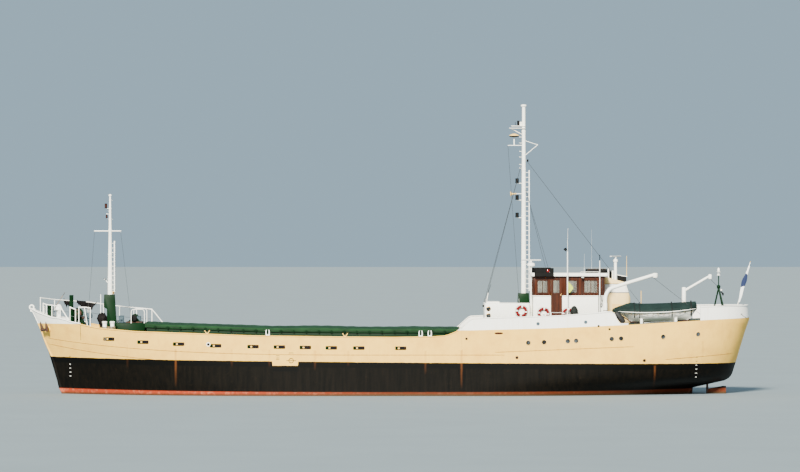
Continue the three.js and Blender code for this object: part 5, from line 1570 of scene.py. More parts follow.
def ladder(x, low, high, rungs, mast_r, half=0.13):
    """Two flat stiles and round rungs, each with arms to the mast."""
    parts = []
    for y in (-half, half):
        parts += of(WHITE, block((x - 0.02, y - 0.005, low), (x + 0.02, y + 0.005, high), 0.003))
    for i in range(rungs):
        z = low + 0.12 + (high - low - 0.24) * i / (rungs - 1)
        parts += of(
            WHITE, tube([(x, -half, z), (x, half, z)], 0.011, 8),
            *[tube([(x, s * half, z), (x + mast_r, s * 0.04, z)], 0.011, 6) for s in (-1, 1)],
        )
    return parts


def lamp(x, z, glass, r=0.055, high=0.15, y=0):
    """A navigation lantern: base, ribbed lens and cap."""
    base = turned([(r * 1.15, 0), (r * 1.15, 0.03), (r, 0.032)], (x, y, z))
    body = [(r, 0.03)]
    for k in range(7):
        body += [(r + 0.004, 0.03 + (high - 0.06) * (k + 0.3) / 7), (r, 0.03 + (high - 0.06) * (k + 1) / 7)]
    cap = turned(
        [(r * 1.15, high - 0.03), (r * 1.15, high - 0.015), (r * 0.5, high), (0, high + 0.002)], (x, y, z)
    )
    return [(base, BLACK), (turned(body, (x, y, z)), glass), (cap, BLACK)]


def arm(points, r=0.014):
    """A white bracket of round bar on a mast."""
    return (tube(bent(points, 0.05), r, 8), WHITE)


x = FOREMAST["x"]
spar, pin_bar = pole(FOREMAST)
yard = tube([(x + end, 0, 8.15) for end in (-0.55, -0.5, 0.75, 0.8)], [0.02, 0.03, 0.03, 0.02], 12)
parts = spar + of(WHITE, yard)
parts += [(hoop((x + end, 0, 8.11), 0.02, 0.005, 6, 12), ZINC) for end in (-0.53, 0.78)]
parts += [arm([(x, 0, 9.28), (x + 0.21, 0, 9.28)]), arm([(x, 0, 8.98), (x + 0.2, 0, 9.02)])]
parts += lamp(x + 0.21, 9.29, BROWN, 0.06, 0.24) + lamp(x + 0.17, 8.79, BROWN, 0.045, 0.17)
parts.append(arm([(x, 0, 5.45), (x + 0.26, 0, 5.72)], 0.02))
flood = turned(
    [(0, 0), (0.03, 0), (0.075, 0.07), (0.085, 0.1), (0.08, 0.102), (0, 0.09)], (x + 0.24, 0, 5.8),
    (0.4, 0, -0.9),
)
parts += [(flood, ZINC), (block((x - 0.21, -0.055, 4.995), (x - 0.1, 0.055, 5.125), 0.015), CREAM)]
cap = [(0.03, 0), (0.04, 0.006), (0.04, 0.02), (0.03, 0.03)]
parts += of(IRON, *[turned(cap, (x - 0.16, s * 0.055, 5.06), (0, s, 0)) for s in (-1, 1)])
for dx, z in ((0.1, 8.75), (-0.1, 8.75), (0.09, 9.15), (-0.09, 9.7)):
    parts += of(ZINC, hoop((x + dx, 0, z), 0.028, 0.006))
make("foremast_spar", parts + pin_bar, "mast_paint", "foremast", "foremast")
rungs = ladder(x - 0.215, 5.1, 7.65, 11, 0.12)
make("foremast_ladder_steel", rungs, "mast_paint", "foremast_ladder", "foremast")

x = MAINMAST["x"]
spar, pin_bar = pole(MAINMAST)
parts = spar + pin_bar
MAST_EYES = [
    (-0.13, 0, 11.7), (0.15, 0.05, 11.33), (-0.1, 0.09, 10.2), (0.15, -0.05, 11.33), (-0.1, -0.09, 10.2)
]
# Two small platforms, the lamp on them, and the strut below.
for z, reach, half in ((13.29, 0.72, 0.19), (13.4, 0.62, 0.16)):
    parts += of(
        WHITE, block((x - 0.06, -half, z), (x + reach, half, z + 0.025), 0.006),
        tube([(x + reach, -half, z + 0.02), (x + reach, half, z + 0.02)], 0.014, 8),
    )
parts += [
    arm([(x, 0, 12.95), (x + 0.62, 0, 13.28)], 0.016),
    (block((x + 0.21, -0.09, 13.426), (x + 0.33, 0.09, 13.68), 0.012), BLACK),
    (block((x + 0.08, -0.08, 13.426), (x + 0.2, 0.08, 13.62), 0.02), WHITE),
    (tube([(x + 0.42, 0.1, 13.42), (x + 0.42, 0.1, 13.6)], 0.012, 6), BLACK),
]
# The satellite aerial's dome on its bracket.
parts += [
    arm([(x, 0, 12.44), (x + 0.79, 0, 12.44)], 0.018),
    arm([(x + 0.48, 0, 12.44), (x + 0.48, 0, 12.86)], 0.03),
]
under = turned(
    [(0.03, 0), (0.14, 0.005), (0.22, 0.02), (0.252, 0.055), (0.252, 0.07)], (x + 0.48, 0, 12.855), sides=36
)
dome = turned(
    [(0.25, 0.069), (0.235, 0.1), (0.17, 0.14), (0.08, 0.17), (0, 0.178)], (x + 0.48, 0, 12.855), sides=36
)
parts += [(under, DARK_CANVAS), (dome, CREAM)]
# The triangle that holds the aerial wires clear aft.
parts += [
    arm([(x, 0, 12.7), (x - 0.7, 0, 12.47)], 0.014), arm([(x - 0.7, 0, 12.47), (x, 0, 11.88)], 0.016),
    (ball((x - 0.7, 0, 12.47), 0.024, 10), WHITE),
]
for z in (10.56, 9.72, 8.84):
    parts.append(arm([(x, 0, z - 0.02), (x + 0.36, 0, z - 0.02)], 0.016))
    parts += lamp(x + 0.33, z - 0.005, BLACK, 0.085, 0.24)
horn = [
    (0.03, 0), (0.035, 0.02), (0.03, 0.04), (0.028, 0.14), (0.05, 0.24), (0.12, 0.3), (0.125, 0.31),
    (0.11, 0.3), (0.02, 0.2), (0, 0.18),
]
horn = turned(horn, (x + 0.36, 0, 10.02), (1, 0, -0.04), 28)
parts += [(horn, CREAM), arm([(x, 0, 10.02), (x + 0.4, 0, 10.02)], 0.014)]
# Steps up the fore side above the ladder, and the eyes that the stays and halyards are made fast to.
for z in (12.86, 12.56, 12.14, 11.86, 11.48, 11.3):
    parts += of(WHITE, tube([(x + 0.06, 0, z), (x + 0.2, 0, z), (x + 0.22, 0, z + 0.02)], 0.012, 6))
parts += [
    *[(hoop((x + dx, dy, z), 0.035, 0.008), ZINC) for dx, dy, z in MAST_EYES],
    (block((x - 0.15, -0.05, 11.62), (x - 0.24, 0.05, 11.74), 0.01), BLACK),
]
make("mainmast_spar", parts, "mast_paint", "mainmast", "mainmast")
rungs = ladder(x - 0.275, 5.15, 11.2, 25, 0.18)
make("mainmast_ladder_steel", rungs, "mast_paint", "mainmast_ladder", "mainmast")

# Standing and running rigging: foot, head, the mast's body and the wire's radius.
STAYS = [
    ("backstay", (-11.2, 0, 6.02), (-6.87, 0, 11.68), "mainmast", 0.011),
    ("halyard_fore", (-6.5, 0.3, 4.56), (-5.94, 0, 12.43), "mainmast", 0.008),
    ("shroud_fore_port", (-4.77, 1.2, 4.56), (-6.57, 0.05, 11.33), "mainmast", 0.01),
    ("shroud_fore_starboard", (-4.77, -1.2, 4.56), (-6.57, -0.05, 11.33), "mainmast", 0.01),
    ("shroud_aft_port", (-7.98, 2.16, 5.98), (-6.84, 0.09, 10.2), "mainmast", 0.009),
    ("shroud_aft_starboard", (-7.98, -2.16, 5.98), (-6.84, -0.09, 10.2), "mainmast", 0.009),
    ("yard_halyard_fore", (15.14, 0, 3.53), (14.78, 0, 8.1), "foremast", 0.007),
    ("yard_halyard_aft", (12.95, 0, 3.72), (13.47, 0, 8.1), "foremast", 0.007),
]
# How far each step of a bottle screw lies along its wire, and how many times as thick it is.
BOTTLE_SCREW = [(0, 1.5), (0.04, 1.5), (0.05, 3), (0.2, 3), (0.21, 1.5), (0.26, 1.2)]
for name, foot, head, body, r in STAYS:
    foot, head = Vector(foot), Vector(head)
    line = tube([foot.lerp(head, k / 30) for k in range(31)], r, 6)
    make(f"rigging_{name}", [(line, WIRE)], body=("ship", body, foot, head))
    way = (head - foot).normalized()
    screw = tube([foot + way * far for far, _ in BOTTLE_SCREW], [r * wide for _, wide in BOTTLE_SCREW], 8)
    make(f"rigging_screw_{name}", [(screw, ZINC)])

# Houses aft. The model's solids carry the windows' openings, so they stay and are dressed.
HOUSE = {"aft": -10.66, "fore": -7.15, "half": 2}
PANE = (5.07, 5.69)
NARROW_PANE = 0.48
SIDE_WINDOWS = [(-7.86, -7.36), (-9.32, -8.85), (-10.34, -9.68)]
FRONT_WINDOWS = [(-1.82, -1.1), (-0.85, -0.13), (0.13, 0.85), (1.1, 1.82)]
AFT_WINDOWS = [(-1.56, -0.84), (0.84, 1.56)]
keep("poop_front_house", WHITE, 0.025)
keep("deckhouse", WHITE, 0.008)
for node in (
    "wheelhouse_side_port", "wheelhouse_side_starboard", "wheelhouse_front", "wheelhouse_back", "helm"
):
    keep(node, VARNISH, 0.004)
keep("wheelhouse_roof", WHITE, 0.03)


def window(u0, u1, out, face):
    """A pane in a frame with a drip bar. face turns across, out and up into x, y and z."""
    at = lambda u0, v0, w0, u1, v1, w1: block(face(u0, v0, w0), face(u1, v1, w1), 0.003)
    z0, z1 = PANE
    rim, back = 0.032, out - 0.03
    bars = [
        (u0 - rim, z0 - rim, u1 + rim, z0 + 0.012), (u0 - rim, z1 - 0.012, u1 + rim, z1 + rim),
        (u0 - rim, z0, u0 + 0.012, z1), (u1 - 0.012, z0, u1 + rim, z1),
    ]
    frame_bars = [at(a, out - 0.004, low, b, out + 0.016, high) for a, low, b, high in bars]
    drip = at(u0 - rim, out, z1 + rim, u1 + rim, out + 0.03, z1 + rim + 0.014)
    pane = at(u0 + 0.001, back, z0 + 0.001, u1 - 0.001, back + 0.006, z1 - 0.001)
    return of(VARNISH, *frame_bars, drip) + of(GLASS, pane)


parts = []
for u0, u1 in SIDE_WINDOWS:
    parts += window(u0, u1, HOUSE["half"], lambda u, v, w: (u, v, w))
    if u1 - u0 > NARROW_PANE:
        middle = (u0 + u1) / 2
        low = (middle - 0.016, HOUSE["half"] - 0.035, PANE[0])
        high = (middle + 0.016, HOUSE["half"] + 0.006, PANE[1])
        parts += of(VARNISH, block(low, high, 0.004))
parts = both_sides(parts)
for u0, u1 in FRONT_WINDOWS:
    parts += window(u0, u1, HOUSE["fore"], lambda u, v, w: (v, u, w))
for u0, u1 in AFT_WINDOWS:
    parts += window(u0, u1, -HOUSE["aft"], lambda u, v, w: (-v, u, w))
make("wheelhouse_windows", parts, "varnished_wood")
corners = [(sx, sy) for sx in (HOUSE["fore"], HOUSE["aft"]) for sy in (-2, 2)]
posts = [block((x - 0.03, y - 0.03, 4.94), (x + 0.03, y + 0.03, 5.89), 0.008) for x, y in corners]
ledge = []
for s in (-1, 1):
    for aft, fore in ((HOUSE["aft"] - 0.03, -8.62), (-7.99, HOUSE["fore"] + 0.03)):
        ledge.append(block((aft, s * 2, 4.9), (fore, s * 2.035, 4.945), 0.008))
ledge += [
    block((x, -2, 4.9), (x + way * 0.035, 2, 4.945), 0.008)
    for x, way in ((HOUSE["fore"], 1), (HOUSE["aft"], -1))
]
kick = [block((-8.57, s * 2, 3.9), (-8.04, s * 2.016, 4.09), 0.004) for s in (-1, 1)]
make("wheelhouse_trim", of(VARNISH, *posts, *kick) + of(WHITE, *ledge), "varnished_wood")

for name, turn in TURNS.items():
    low, high, aft, fore, y0, y1 = 4.112, 5.838, -8.579, -8.031, 1.96, 2
    w_aft, w_fore = -8.44, -8.15
    boards = [
        block((aft, y0, low), (w_aft, y1, high), 0.005), block((w_fore, y0, low), (fore, y1, high), 0.005),
        block((w_aft - 0.001, y0, low), (w_fore + 0.001, y1, PANE[0]), 0.005),
        block((w_aft - 0.001, y0, PANE[1]), (w_fore + 0.001, y1, high), 0.005),
        block((w_aft + 0.01, y1 - 0.002, low + 0.12), (w_fore - 0.01, y1 + 0.008, PANE[0] - 0.1), 0.006),
    ]
    hinges = [
        tube([(fore - 0.014, y1 + 0.005, z - 0.06), (fore - 0.014, y1 + 0.005, z + 0.06)], 0.007, 8)
        for z in (4.4, 4.98, 5.6)
    ]
    knob = [(0.012, 0), (0.012, 0.03), (0.028, 0.045), (0.028, 0.065), (0, 0.075)]
    knob = turned(knob, (aft + 0.06, y1, 4.95), (0, 1, 0))
    parts = [(turn(b), VARNISH) for b in boards] + [(turn(h), BRASS) for h in hinges + [knob]]
    parts += of(GLASS, turn(block((w_aft, y0 + 0.015, PANE[0]), (w_fore, y0 + 0.021, PANE[1]), 0.002)))
    make(f"door_{name}_leaf", parts, "varnished_wood", f"door_{name}", f"door_{name}")

# Fittings of the two houses: portholes, a low box on the fore one, a lamp, lifebuoys and the outboard.


def porthole(centre, way, r):
    """A brass ring with its glass and bolts."""
    rim = ring_form(
        [(r, 0), (r * 1.35, 0), (r * 1.3, 0.018), (r * 1.08, 0.026), (r, 0.016)], centre, way, 28
    )
    pane = turned([(r * 1.02, 0.002), (r * 1.02, 0.006), (0, 0.007)], centre, way, 28)
    heads = bolts(Vector(centre) + Vector(way) * 0.018, r * 1.2, way, 6, 0.008)
    return of(BRASS, rim) + of(DARK_GLASS, pane) + of(BRASS, *heads)


def lifebuoy(centre, r=0.225, thick=0.068):
    """Red ring with four narrow white bands, and its grab line."""
    parts, band = [], 0.045

    def on_ring(turn, radius):
        """A point of a ring round the buoy's centre."""
        return Vector(centre) + Vector((radius * cos(turn), 0, radius * sin(turn)))

    for k in range(8):
        low, high = (band, 0.25) if k % 2 else (0, band)
        start, end = 2 * pi * (k // 2 / 4 + low), 2 * pi * (k // 2 / 4 + high)
        path = [on_ring(start + (end - start) * i / 8, r) for i in range(9)]
        parts.append((tube(path, thick, 14), RED if k % 2 else WHITE))
    line = [
        on_ring(t, r + thick + 0.012 + 0.02 * abs(sin(2 * t))) for t in [pi * i / 32 for i in range(64)]
    ]
    return parts + [(tube(line, 0.006, 6, closed=True), ROPE)]


parts = []
for z in (4.28, 3.94):
    parts += porthole((-4.93, 1.751, z), (0, 1, 0), 0.09)
parts += of(WHITE, block((-5.5, -1.35, 4.551), (-4.85, 1.35, 4.62), 0.02))
# A leaning staff with a thin dark whip, and the dark lamp below it on the house's fore wall.
parts += [
    (tube([(-4.83, 1.1, 4.551), (-4.92, 1.1, 5.07)], 0.024, 10), WHITE),
    (tube([(-4.92, 1.1, 5.06), (-5.07, 1.1, 5.49)], 0.009, 8), BLACK),
    (ball((-4.69, 1.1, 4.41), 0.055, 14), BLACK),
    (tube([(-4.73, 1.1, 4.41), (-4.69, 1.1, 4.41)], 0.02, 8), ZINC),
]
make("front_house_fittings", parts, "white_paint")
parts = lifebuoy((-6.57, 1.83, 4.16)) + lifebuoy((-7.66, 2.08, 4.06)) + lifebuoy((-8.86, 2.25, 4.03))
for x, y0, y1 in ((-6.57, 1.75, 1.84), (-7.66, 2, 2.09), (-8.86, 2, 2.26)):
    parts += of(WHITE, block((x - 0.04, y0, 4), (x + 0.04, y1, 4.03), 0.004))
make("lifebuoys", parts, "white_paint")
outboard = [(0, 0), (0.16, 0.01), (0.2, 0.12), (0.2, 0.26), (0.15, 0.36), (0.06, 0.42), (0, 0.43)]
deck = deck_at(-9.17)
lift = deck + 0.48
smooth, faces = turned(outboard, (-9.17, 2.5, lift), sides=20)
bag = []
for p in smooth:
    height = lift + (p.z - lift) * 1.3 + 0.03 * noise.noise(p * 5)
    bag.append(Vector((p.x + 0.02 * noise.noise(p * 4), p.y, height)))
legs = tube([(-9.17, 2.5, deck), (-9.17, 2.5, deck + 0.5)], 0.03, 8)
made = make("covered_outboard", [((bag, faces), DARK_CANVAS)], "tarpaulin", sharp=60)
parts = of(GREY, legs, block((-9.35, 2.44, deck + 0.001), (-9, 2.56, deck + 0.02), 0.004))
make("outboard_stand", parts, "grey_paint")

# Roof: sidelights, dark box, pole with floodlight and pennant, whips and a second pole.
forms = [
    block(low, high, 0.004) for low, high in [
        ((-8.158, 2.002, 6.051), (-7.202, 2.028, 6.308)), ((-8.158, 2.002, 6.051), (-7.202, 2.248, 6.078)),
        ((-8.158, 2.002, 6.051), (-8.132, 2.248, 6.308)), ((-7.228, 2.002, 6.051), (-7.202, 2.1, 6.308)),
        ((-8.158, 2.226, 5.89), (-7.202, 2.248, 6.06)),
    ]
]
for (name, turn), glass in zip(TURNS.items(), (LENS_RED, LENS_GREEN)):
    screen = [(form, BLACK) for form in forms] + lamp(-7.88, 6.078, glass, 0.06, 0.19, 2.13)
    make(f"sidelight_{name}_screen", [(turn(f), m) for f, m in screen], "black_paint", f"sidelight_{name}")
keep("roof_box", BLACK, 0.02)
slats = [
    block((-10.83 + 0.16 * k, -0.62, 6.2515), (-10.75 + 0.16 * k, 0.62, 6.262), 0.003) for k in range(6)
]
make("roof_box_slats", of(BARE_WOOD, *slats), "black_paint")
px, py, foot = -8.84, 2.29, deck_at(-8.84) + 0.001
staff = [(0.09, 0), (0.09, 0.012), (0.028, 0.03), (0.026, 7.16 - foot), (0.03, 7.18 - foot)]
flood = [(0.02, -0.07), (0.055, -0.06), (0.075, 0), (0.085, 0.06), (0.078, 0.064), (0, 0.05)]
parts = [
    (turned(staff, (px, py, foot), sides=16), WHITE),
    (turned(flood, (px + 0.1, py, 7.24), (0.75, 0.25, -0.8), 24), BLACK),
    (tube([(px, py, 7.19), (px, py, 7.6), (px - 0.02, py, 8.29)], [0.009, 0.007, 0.004], 8), WHITE),
    (block((px - 0.05, py - 0.05, 7.15), (px + 0.05, py + 0.05, 7.2), 0.01), ZINC),
    (tube([(px, 2.16, 6), (px, py, 6)], 0.014, 8), WHITE),
]
make("floodlight_pole_steel", parts, "white_paint", "floodlight_pole")
low, joint, high = (Vector((-10.44, 2.24, z)) for z in (deck_at(-10.44), 6.68, 6.97))
parts = [
    (tube([low, joint], [0.022, 0.018], 10), WHITE), (tube([joint, high], 0.02, 10), BLACK),
    (tube([(-10.44, 2, 5.2), (-10.44, 2.24, 5.2)], 0.012, 6), WHITE),
]
for x, y, low, high in ((-9.73, 0.9, 6.052, 7.02), (-7.1, -1.2, 6.052, 7.4), (-10.2, -1.5, 6.052, 8.2)):
    whip = [(0.03, 0), (0.03, 0.03), (0.014, 0.05), (0.012, 0.25), (0.006, 0.27), (0.003, high - low)]
    parts += of(ALLOY, turned(whip, (x, y, low), sides=8))
make("whips_and_pole", parts, "white_paint")
# The lamp at the roof's edge, the hoses beside the house's aft corner, and the roof's short rail.
HOSE = [
    (-10.4, 2.035, 4), (-10.4, 2.035, 5.36), (-10.46, 2.035, 5.36), (-10.58, 2.05, 4.45),
    (-10.5, 2.05, 4.35), (-10.42, 2.06, 4.9),
]
SHORT_HOSE = [(-10.6, 2.035, 5.82), (-10.6, 2.035, 4.7), (-10.52, 2.04, 4.5)]
ROOF_RAIL = [(-10.4, 2.12, 6.05), (-10.4, 2.12, 6.12), (-9.5, 2.12, 6.12), (-9.5, 2.12, 6.05)]
parts = of(BLACK, ball((-9.6, 2.19, 5.81), 0.06, 14)) + of(
    WHITE, hoop((-9.6, 2.19, 5.84), 0.06, 0.014, 8, 20, True),
    tube([(-9.6, 2.1, 5.88), (-9.6, 2.19, 5.88)], 0.012, 6), tube(bent(ROOF_RAIL, 0.03), 0.01, 6),
)
parts += of(RUBBER, tube(bent(HOSE, 0.06), 0.018, 10), tube(bent(SHORT_HOSE, 0.08), 0.014, 8))
make("roof_fittings", parts, "white_paint")


def hung_cloth(rows, thick=0.0024):
    """A thin closed form through rows of points, each row a cloth's section, the first row uppermost."""
    rings = []
    for row_points in rows:
        outs = []
        for i, p in enumerate(row_points):
            along = row_points[min(i + 1, len(row_points) - 1)] - row_points[max(i - 1, 0)]
            outs.append(Vector((-along.y, along.x, 0)).normalized() * thick / 2)
        front = [p + out for p, out in zip(row_points, outs)]
        back = [p - out for p, out in zip(row_points, outs)]
        rings.append(front + back[::-1])
    return loft(rings)


# The pennant hangs from the pole's halyard, its fly end drooping.
pennant = []
for k in range(13):
    down = k / 12
    drop = 5.66 - 0.54 * down
    out = 0.05 + 0.2 * (1 - abs(2 * down - 1.05) ** 1.3)
    section = []
    for i in range(10):
        wave = 0.022 * sin(7 * i / 9 + 2 * down)
        section.append(Vector((px - 0.032 - out * i / 9, py + wave, drop - 0.05 * i / 9)))
    pennant.append(section)
PENNANT = canvas("yellow bunting", "#c8d23c", "#a9b53a", 0.002)
made = make("pennant", [(hung_cloth(pennant), PENNANT)], "bunting", sharp=60)

# Radars.
RADARS = [
    # name, x, y, radius of the post, its top and foot, radius and height of the head, the bar's angle
    ("radar_fore", -7.06, 1.25, 0.038, 6.4, deck_at(-7.06), 0.19, 0.17, 0),
    ("radar_aft", -11.33, 0, 0.075, 6.6, 5.4, 0.115, 0.15, radians(57)),
]
for name, x, y, r, top, foot, wide, high, turn in RADARS:
    post = turned(
        [(r * 1.6, 0), (r * 1.6, 0.015), (r, 0.03), (r, top - foot)], (x, y, foot + 0.001), sides=20
    )
    head = [(0.25, -0.15), (0.9, 0), (1, 0.15), (0.98, 0.6), (0.8, 0.9), (0.3, 1), (0, 1)]
    head = turned([(wide * a, high * b) for a, b in head], (x, y, top), sides=28)
    make(f"{name}_post_steel", of(WHITE, post, head), "white_paint", f"{name}_post")
    spin = Matrix.Translation((x, y, top + high + 0.13)) @ Matrix.Rotation(turn, 4, "Z")
    rings = []
    for u in (-0.5, -0.488, -0.45, -0.2, 0, 0.2, 0.45, 0.488, 0.5):
        wide_here, high_here = (0.055, 0.035) if abs(u) < 0.49 else (0.03, 0.02)
        turns = [2 * pi * j / 16 for j in range(16)]
        rings.append([Vector((u, wide_here * cos(t), high_here * sin(t))) for t in turns])
    neck = turned(
        [(0.05, -0.12), (0.045, -0.09), (0.04, -0.02), (0.06, 0), (0, 0.001)], (0, 0, 0), sides=20
    )
    parts = [(placed(loft(rings), spin), ALLOY), (placed(neck, spin), WHITE)]
    make(f"{name}_bar", parts, "white_paint", f"{name}_scanner", f"{name}_scanner")

# Funnel and its exhausts.
made, tree, shader, place = start_material("funnel paint with a white band", 0.42, ior=1.38)
cream = weather(tree, shader, place, "#f2d290", "#c79b5e", 0.3, 0.35, (0.4, 0.55))
z = add(tree, "ShaderNodeSeparateXYZ", {"Vector": place}).outputs["Z"]
band = add(
    tree, "ShaderNodeMixRGB",
    {"Fac": between(tree, z, 5.07, 5.5, 0.004), "Color1": cream, "Color2": "#f0ece2"},
)
lines = add(
    tree, "ShaderNodeMath",
    {0: between(tree, z, 5.05, 5.085, 0.004), 1: between(tree, z, 5.485, 5.52, 0.004)}, operation="ADD",
)
band = add(tree, "ShaderNodeMixRGB", {"Fac": lines, "Color1": band, "Color2": "#2a2723"})
tree.links.new(band.outputs[0], shader.inputs["Base Color"])
FUNNEL_PAINT = made
keep("funnel", FUNNEL_PAINT, 0.02)
parts = []
for x, y, r, top in ((-10.96, 0.16, 0.075, 6.25), (-11.13, -0.15, 0.095, 6.18)):
    stack = [
        (r, 0), (r, top - 5.401), (r - 0.006, top - 5.4), (r - 0.015, top - 5.41), (r - 0.015, top - 5.9),
        (0, top - 5.9),
    ]
    band = [(r, -0.02), (r + 0.01, -0.02), (r + 0.01, 0.02), (r, 0.02)]
    clamp = ring_form(band, (x, y, top - 0.12), (0, 0, 1), 28)
    parts += of(BLACK, turned(stack, (x, y, 5.401), sides=28), clamp)
parts += of(BLACK, tube([(-10.96, 0.16, 5.93), (-11.13, -0.15, 5.93)], 0.02, 8))
make("exhausts", parts, "black_paint", "exhaust_pipes")
parts = [
    (tube([(-10.96, 0.3, 5.72), (-10.96, 0.3, 6.26)], 0.036, 14), WHITE),
    (tube([(-11.19, 0.13, 5.55), (-11.19, 0.13, 6.17)], 0.045, 16), WHITE),
    (prism([(-11.43, 5.5), (-11.86, 5.3), (-11.86, 5.85), (-11.43, 5.93)], -0.3, 0.3), BLACK),
    (prism([(-11.4, 5.94), (-11.9, 5.855), (-11.9, 5.885), (-11.4, 5.97)], -0.33, 0.33), WHITE),
    (tube([(-11.88, 0.2, 5.86), (-11.88, 0.2, 6.9)], [0.016, 0.008], 8), CREAM),
    (tube([(-12.6, 0.3, deck_at(-12.6)), (-12.6, 0.3, 5.16)], 0.018, 10), CREAM),
    (tube([(-12.03, 0.2, 5.21), (-13.28, 0.2, deck_at(-13.28) + 0.02)], 0.008, 8), WIRE),
    (hoop((-13.28, 0.2, deck_at(-13.28) + 0.03), 0.03, 0.008), ZINC),
    (block((-12.02, 0.2, 3.9), (-12.075, 0.45, 4.3), 0.008), GREY),
]
louvre = [block((-11.62, 0.521, 4.1 + 0.06 * k), (-11.12, 0.535, 4.13 + 0.06 * k), 0.003) for k in range(7)]
make("funnel_fittings", parts + both_sides(of(CREAM, *louvre)), "funnel_paint")

# Lifeboat, its cover, chocks and gripes.
BOAT = {"aft": -15.25, "fore": -11.1, "y": 2.1, "half": 0.76, "sheer": 0.13, "trim": 0.03}
# Heights, shares of the length aft and forward, of the beam and of the sheer.
BOAT_ROWS = [
    (3.66, 0.8, 0.56, 0.06, 0.2), (3.67, 0.81, 0.565, 0.16, 0.22), (3.71, 0.85, 0.6, 0.34, 0.3),
    (3.77, 0.88, 0.65, 0.55, 0.45), (3.84, 0.91, 0.7, 0.72, 0.6), (3.92, 0.935, 0.78, 0.84, 0.76),
    (4, 0.96, 0.86, 0.94, 0.9), (4.08, 0.98, 0.94, 0.975, 0.96), (4.15, 1, 1, 1, 1),
]
COVER_ROWS = [
    (4.152, 1.013, 1.018, 1.012, 1), (4.175, 1.015, 1.02, 1, 1), (4.24, 1.01, 0.98, 0.97, 1),
    (4.305, 1.006, 0.91, 0.84, 0.96), (4.37, 1, 0.84, 0.66, 0.9), (4.43, 0.993, 0.76, 0.47, 0.75),
    (4.49, 0.985, 0.68, 0.3, 0.6), (4.56, 0.97, 0.57, 0.06, 0.3),
]
COVER_PEAK = {"x": -11.95, "high": 0.035}


def boat_line(z, aft, fore, beam, rise, count=32):
    """The outline of the boat at a height, right round."""
    middle, half_long = (BOAT["aft"] + BOAT["fore"]) / 2, (BOAT["fore"] - BOAT["aft"]) / 2
    side = []
    for i in range(count + 1):
        u = -cos(pi * i / count)
        wide = max(0.012, BOAT["half"] * beam * (1 - abs(u) ** 2.3) ** 0.75)
        reach = half_long * (aft if u < 0 else fore) * u
        side.append(Vector((middle + reach, wide, z + BOAT["sheer"] * rise * u * u - BOAT["trim"] * reach)))
    ring = side + [Vector((p.x, -p.y, p.z)) for p in reversed(side)]
    return [p + Vector((0, BOAT["y"], 0)) for p in ring]


parts = [(loft([boat_line(*values) for values in BOAT_ROWS]), WHITE)]
gunwale = [p + Vector((0, 0, -0.035)) for p in boat_line(*BOAT_ROWS[-1])]
parts += of(WHITE, tube(gunwale, 0.024, 8, closed=True))
keel = [Vector((p.x, BOAT["y"], p.z - 0.02)) for p in boat_line(*BOAT_ROWS[0])[:33]]
ends = [Vector((x, BOAT["y"], z)) for x, z in ((BOAT["aft"] + 0.01, 4.3), (BOAT["fore"] - 0.01, 4.2))]
parts += of(BROWN, tube([ends[0]] + keel + [ends[1]], 0.03, 8))
grab = []
for i, p in enumerate(boat_line(*BOAT_ROWS[-1])):
    if 3 < i % 33 < 29:
        out = 0.03 if p.y > BOAT["y"] else -0.03
        grab.append(Vector((p.x, p.y + out, p.z - 0.1 - 0.07 * abs(sin(i * 0.8)))))
for part in (grab[:25], grab[25:]):
    parts += of(ROPE, tube(part, 0.008, 6))
make("lifeboat_planking", parts, "white_paint", "lifeboat")
rings = []
for k, values in enumerate(COVER_ROWS):
    ring = boat_line(*values)
    for i, p in enumerate(ring):
        tent = max(0, 1 - abs(p.x - COVER_PEAK["x"]) / 0.5) * max(0, 1 - abs(p.y - BOAT["y"]) / 0.5)
        slack = 0.012 * sin(i * 1.9) + 0.02 * noise.noise(p * 2.1)
        p.z += COVER_PEAK["high"] * tent + slack * (0 < k < 7)
    rings.append(ring)
skirt = [
    p + Vector((0, (0.008 if p.y > BOAT["y"] else -0.008), -0.07 - 0.03 * abs(sin(i * 0.55))))
    for i, p in enumerate(boat_line(4.15, 1.01, 1.015, 1.012, 1))
]
outer = [skirt] + rings
inner = [[p + Vector((0, 0, -0.006)) for p in ring] for ring in outer]
# Up the outside, across the ridge, down the inside and round the hem.
outside, inside = loft(outer, capped=False), loft(inner, capped=False)
count, around = len(outside[0]), len(skirt)
last = count - around
lid = [
    [last + i, last + i + 1, last + around - 2 - i, last + around - 1 - i] for i in range(around // 2 - 1)
]
hem = [[i, (i + 1) % around, (i + 1) % around + count, i + count] for i in range(around)]
faces = outside[1] + lid + hem + [[i + count for i in reversed(face)] for face in inside[1] + lid]
cover = (outside[0] + inside[0], faces)
made = make("lifeboat_canvas", [(cover, BOAT_CANVAS)], "tarpaulin", "lifeboat_cover", sharp=60)
keep("boat_chocks", WHITE, 0.01)


def strap(x, half):
    """A flat strap over the boat at an x: it follows the section of the boat and its cover."""
    section = []
    for row_values in BOAT_ROWS[4:] + COVER_ROWS[1:]:
        line = boat_line(*row_values)[:33]
        for a, b in zip(line, line[1:]):
            if a.x <= x < b.x:
                section.append(a.lerp(b, (x - a.x) / (b.x - a.x)))
    over = [p + Vector((0, 0.02, 0)) for p in section]
    over.append(Vector((x, BOAT["y"] + 0.02, section[-1].z + 0.045)))
    over += [Vector((x, 2 * BOAT["y"] - p.y, p.z)) for p in reversed(over[:-1])]
    middle = Vector((x, BOAT["y"], 4))
    rings = []
    for p in over:
        out = (p - middle).normalized() * 0.006
        rings.append([
            p + Vector((dx, 0, 0)) + out * lift
            for dx, lift in ((-half, 1), (half, 1), (half, 2), (-half, 2))
        ])
    return loft(rings)


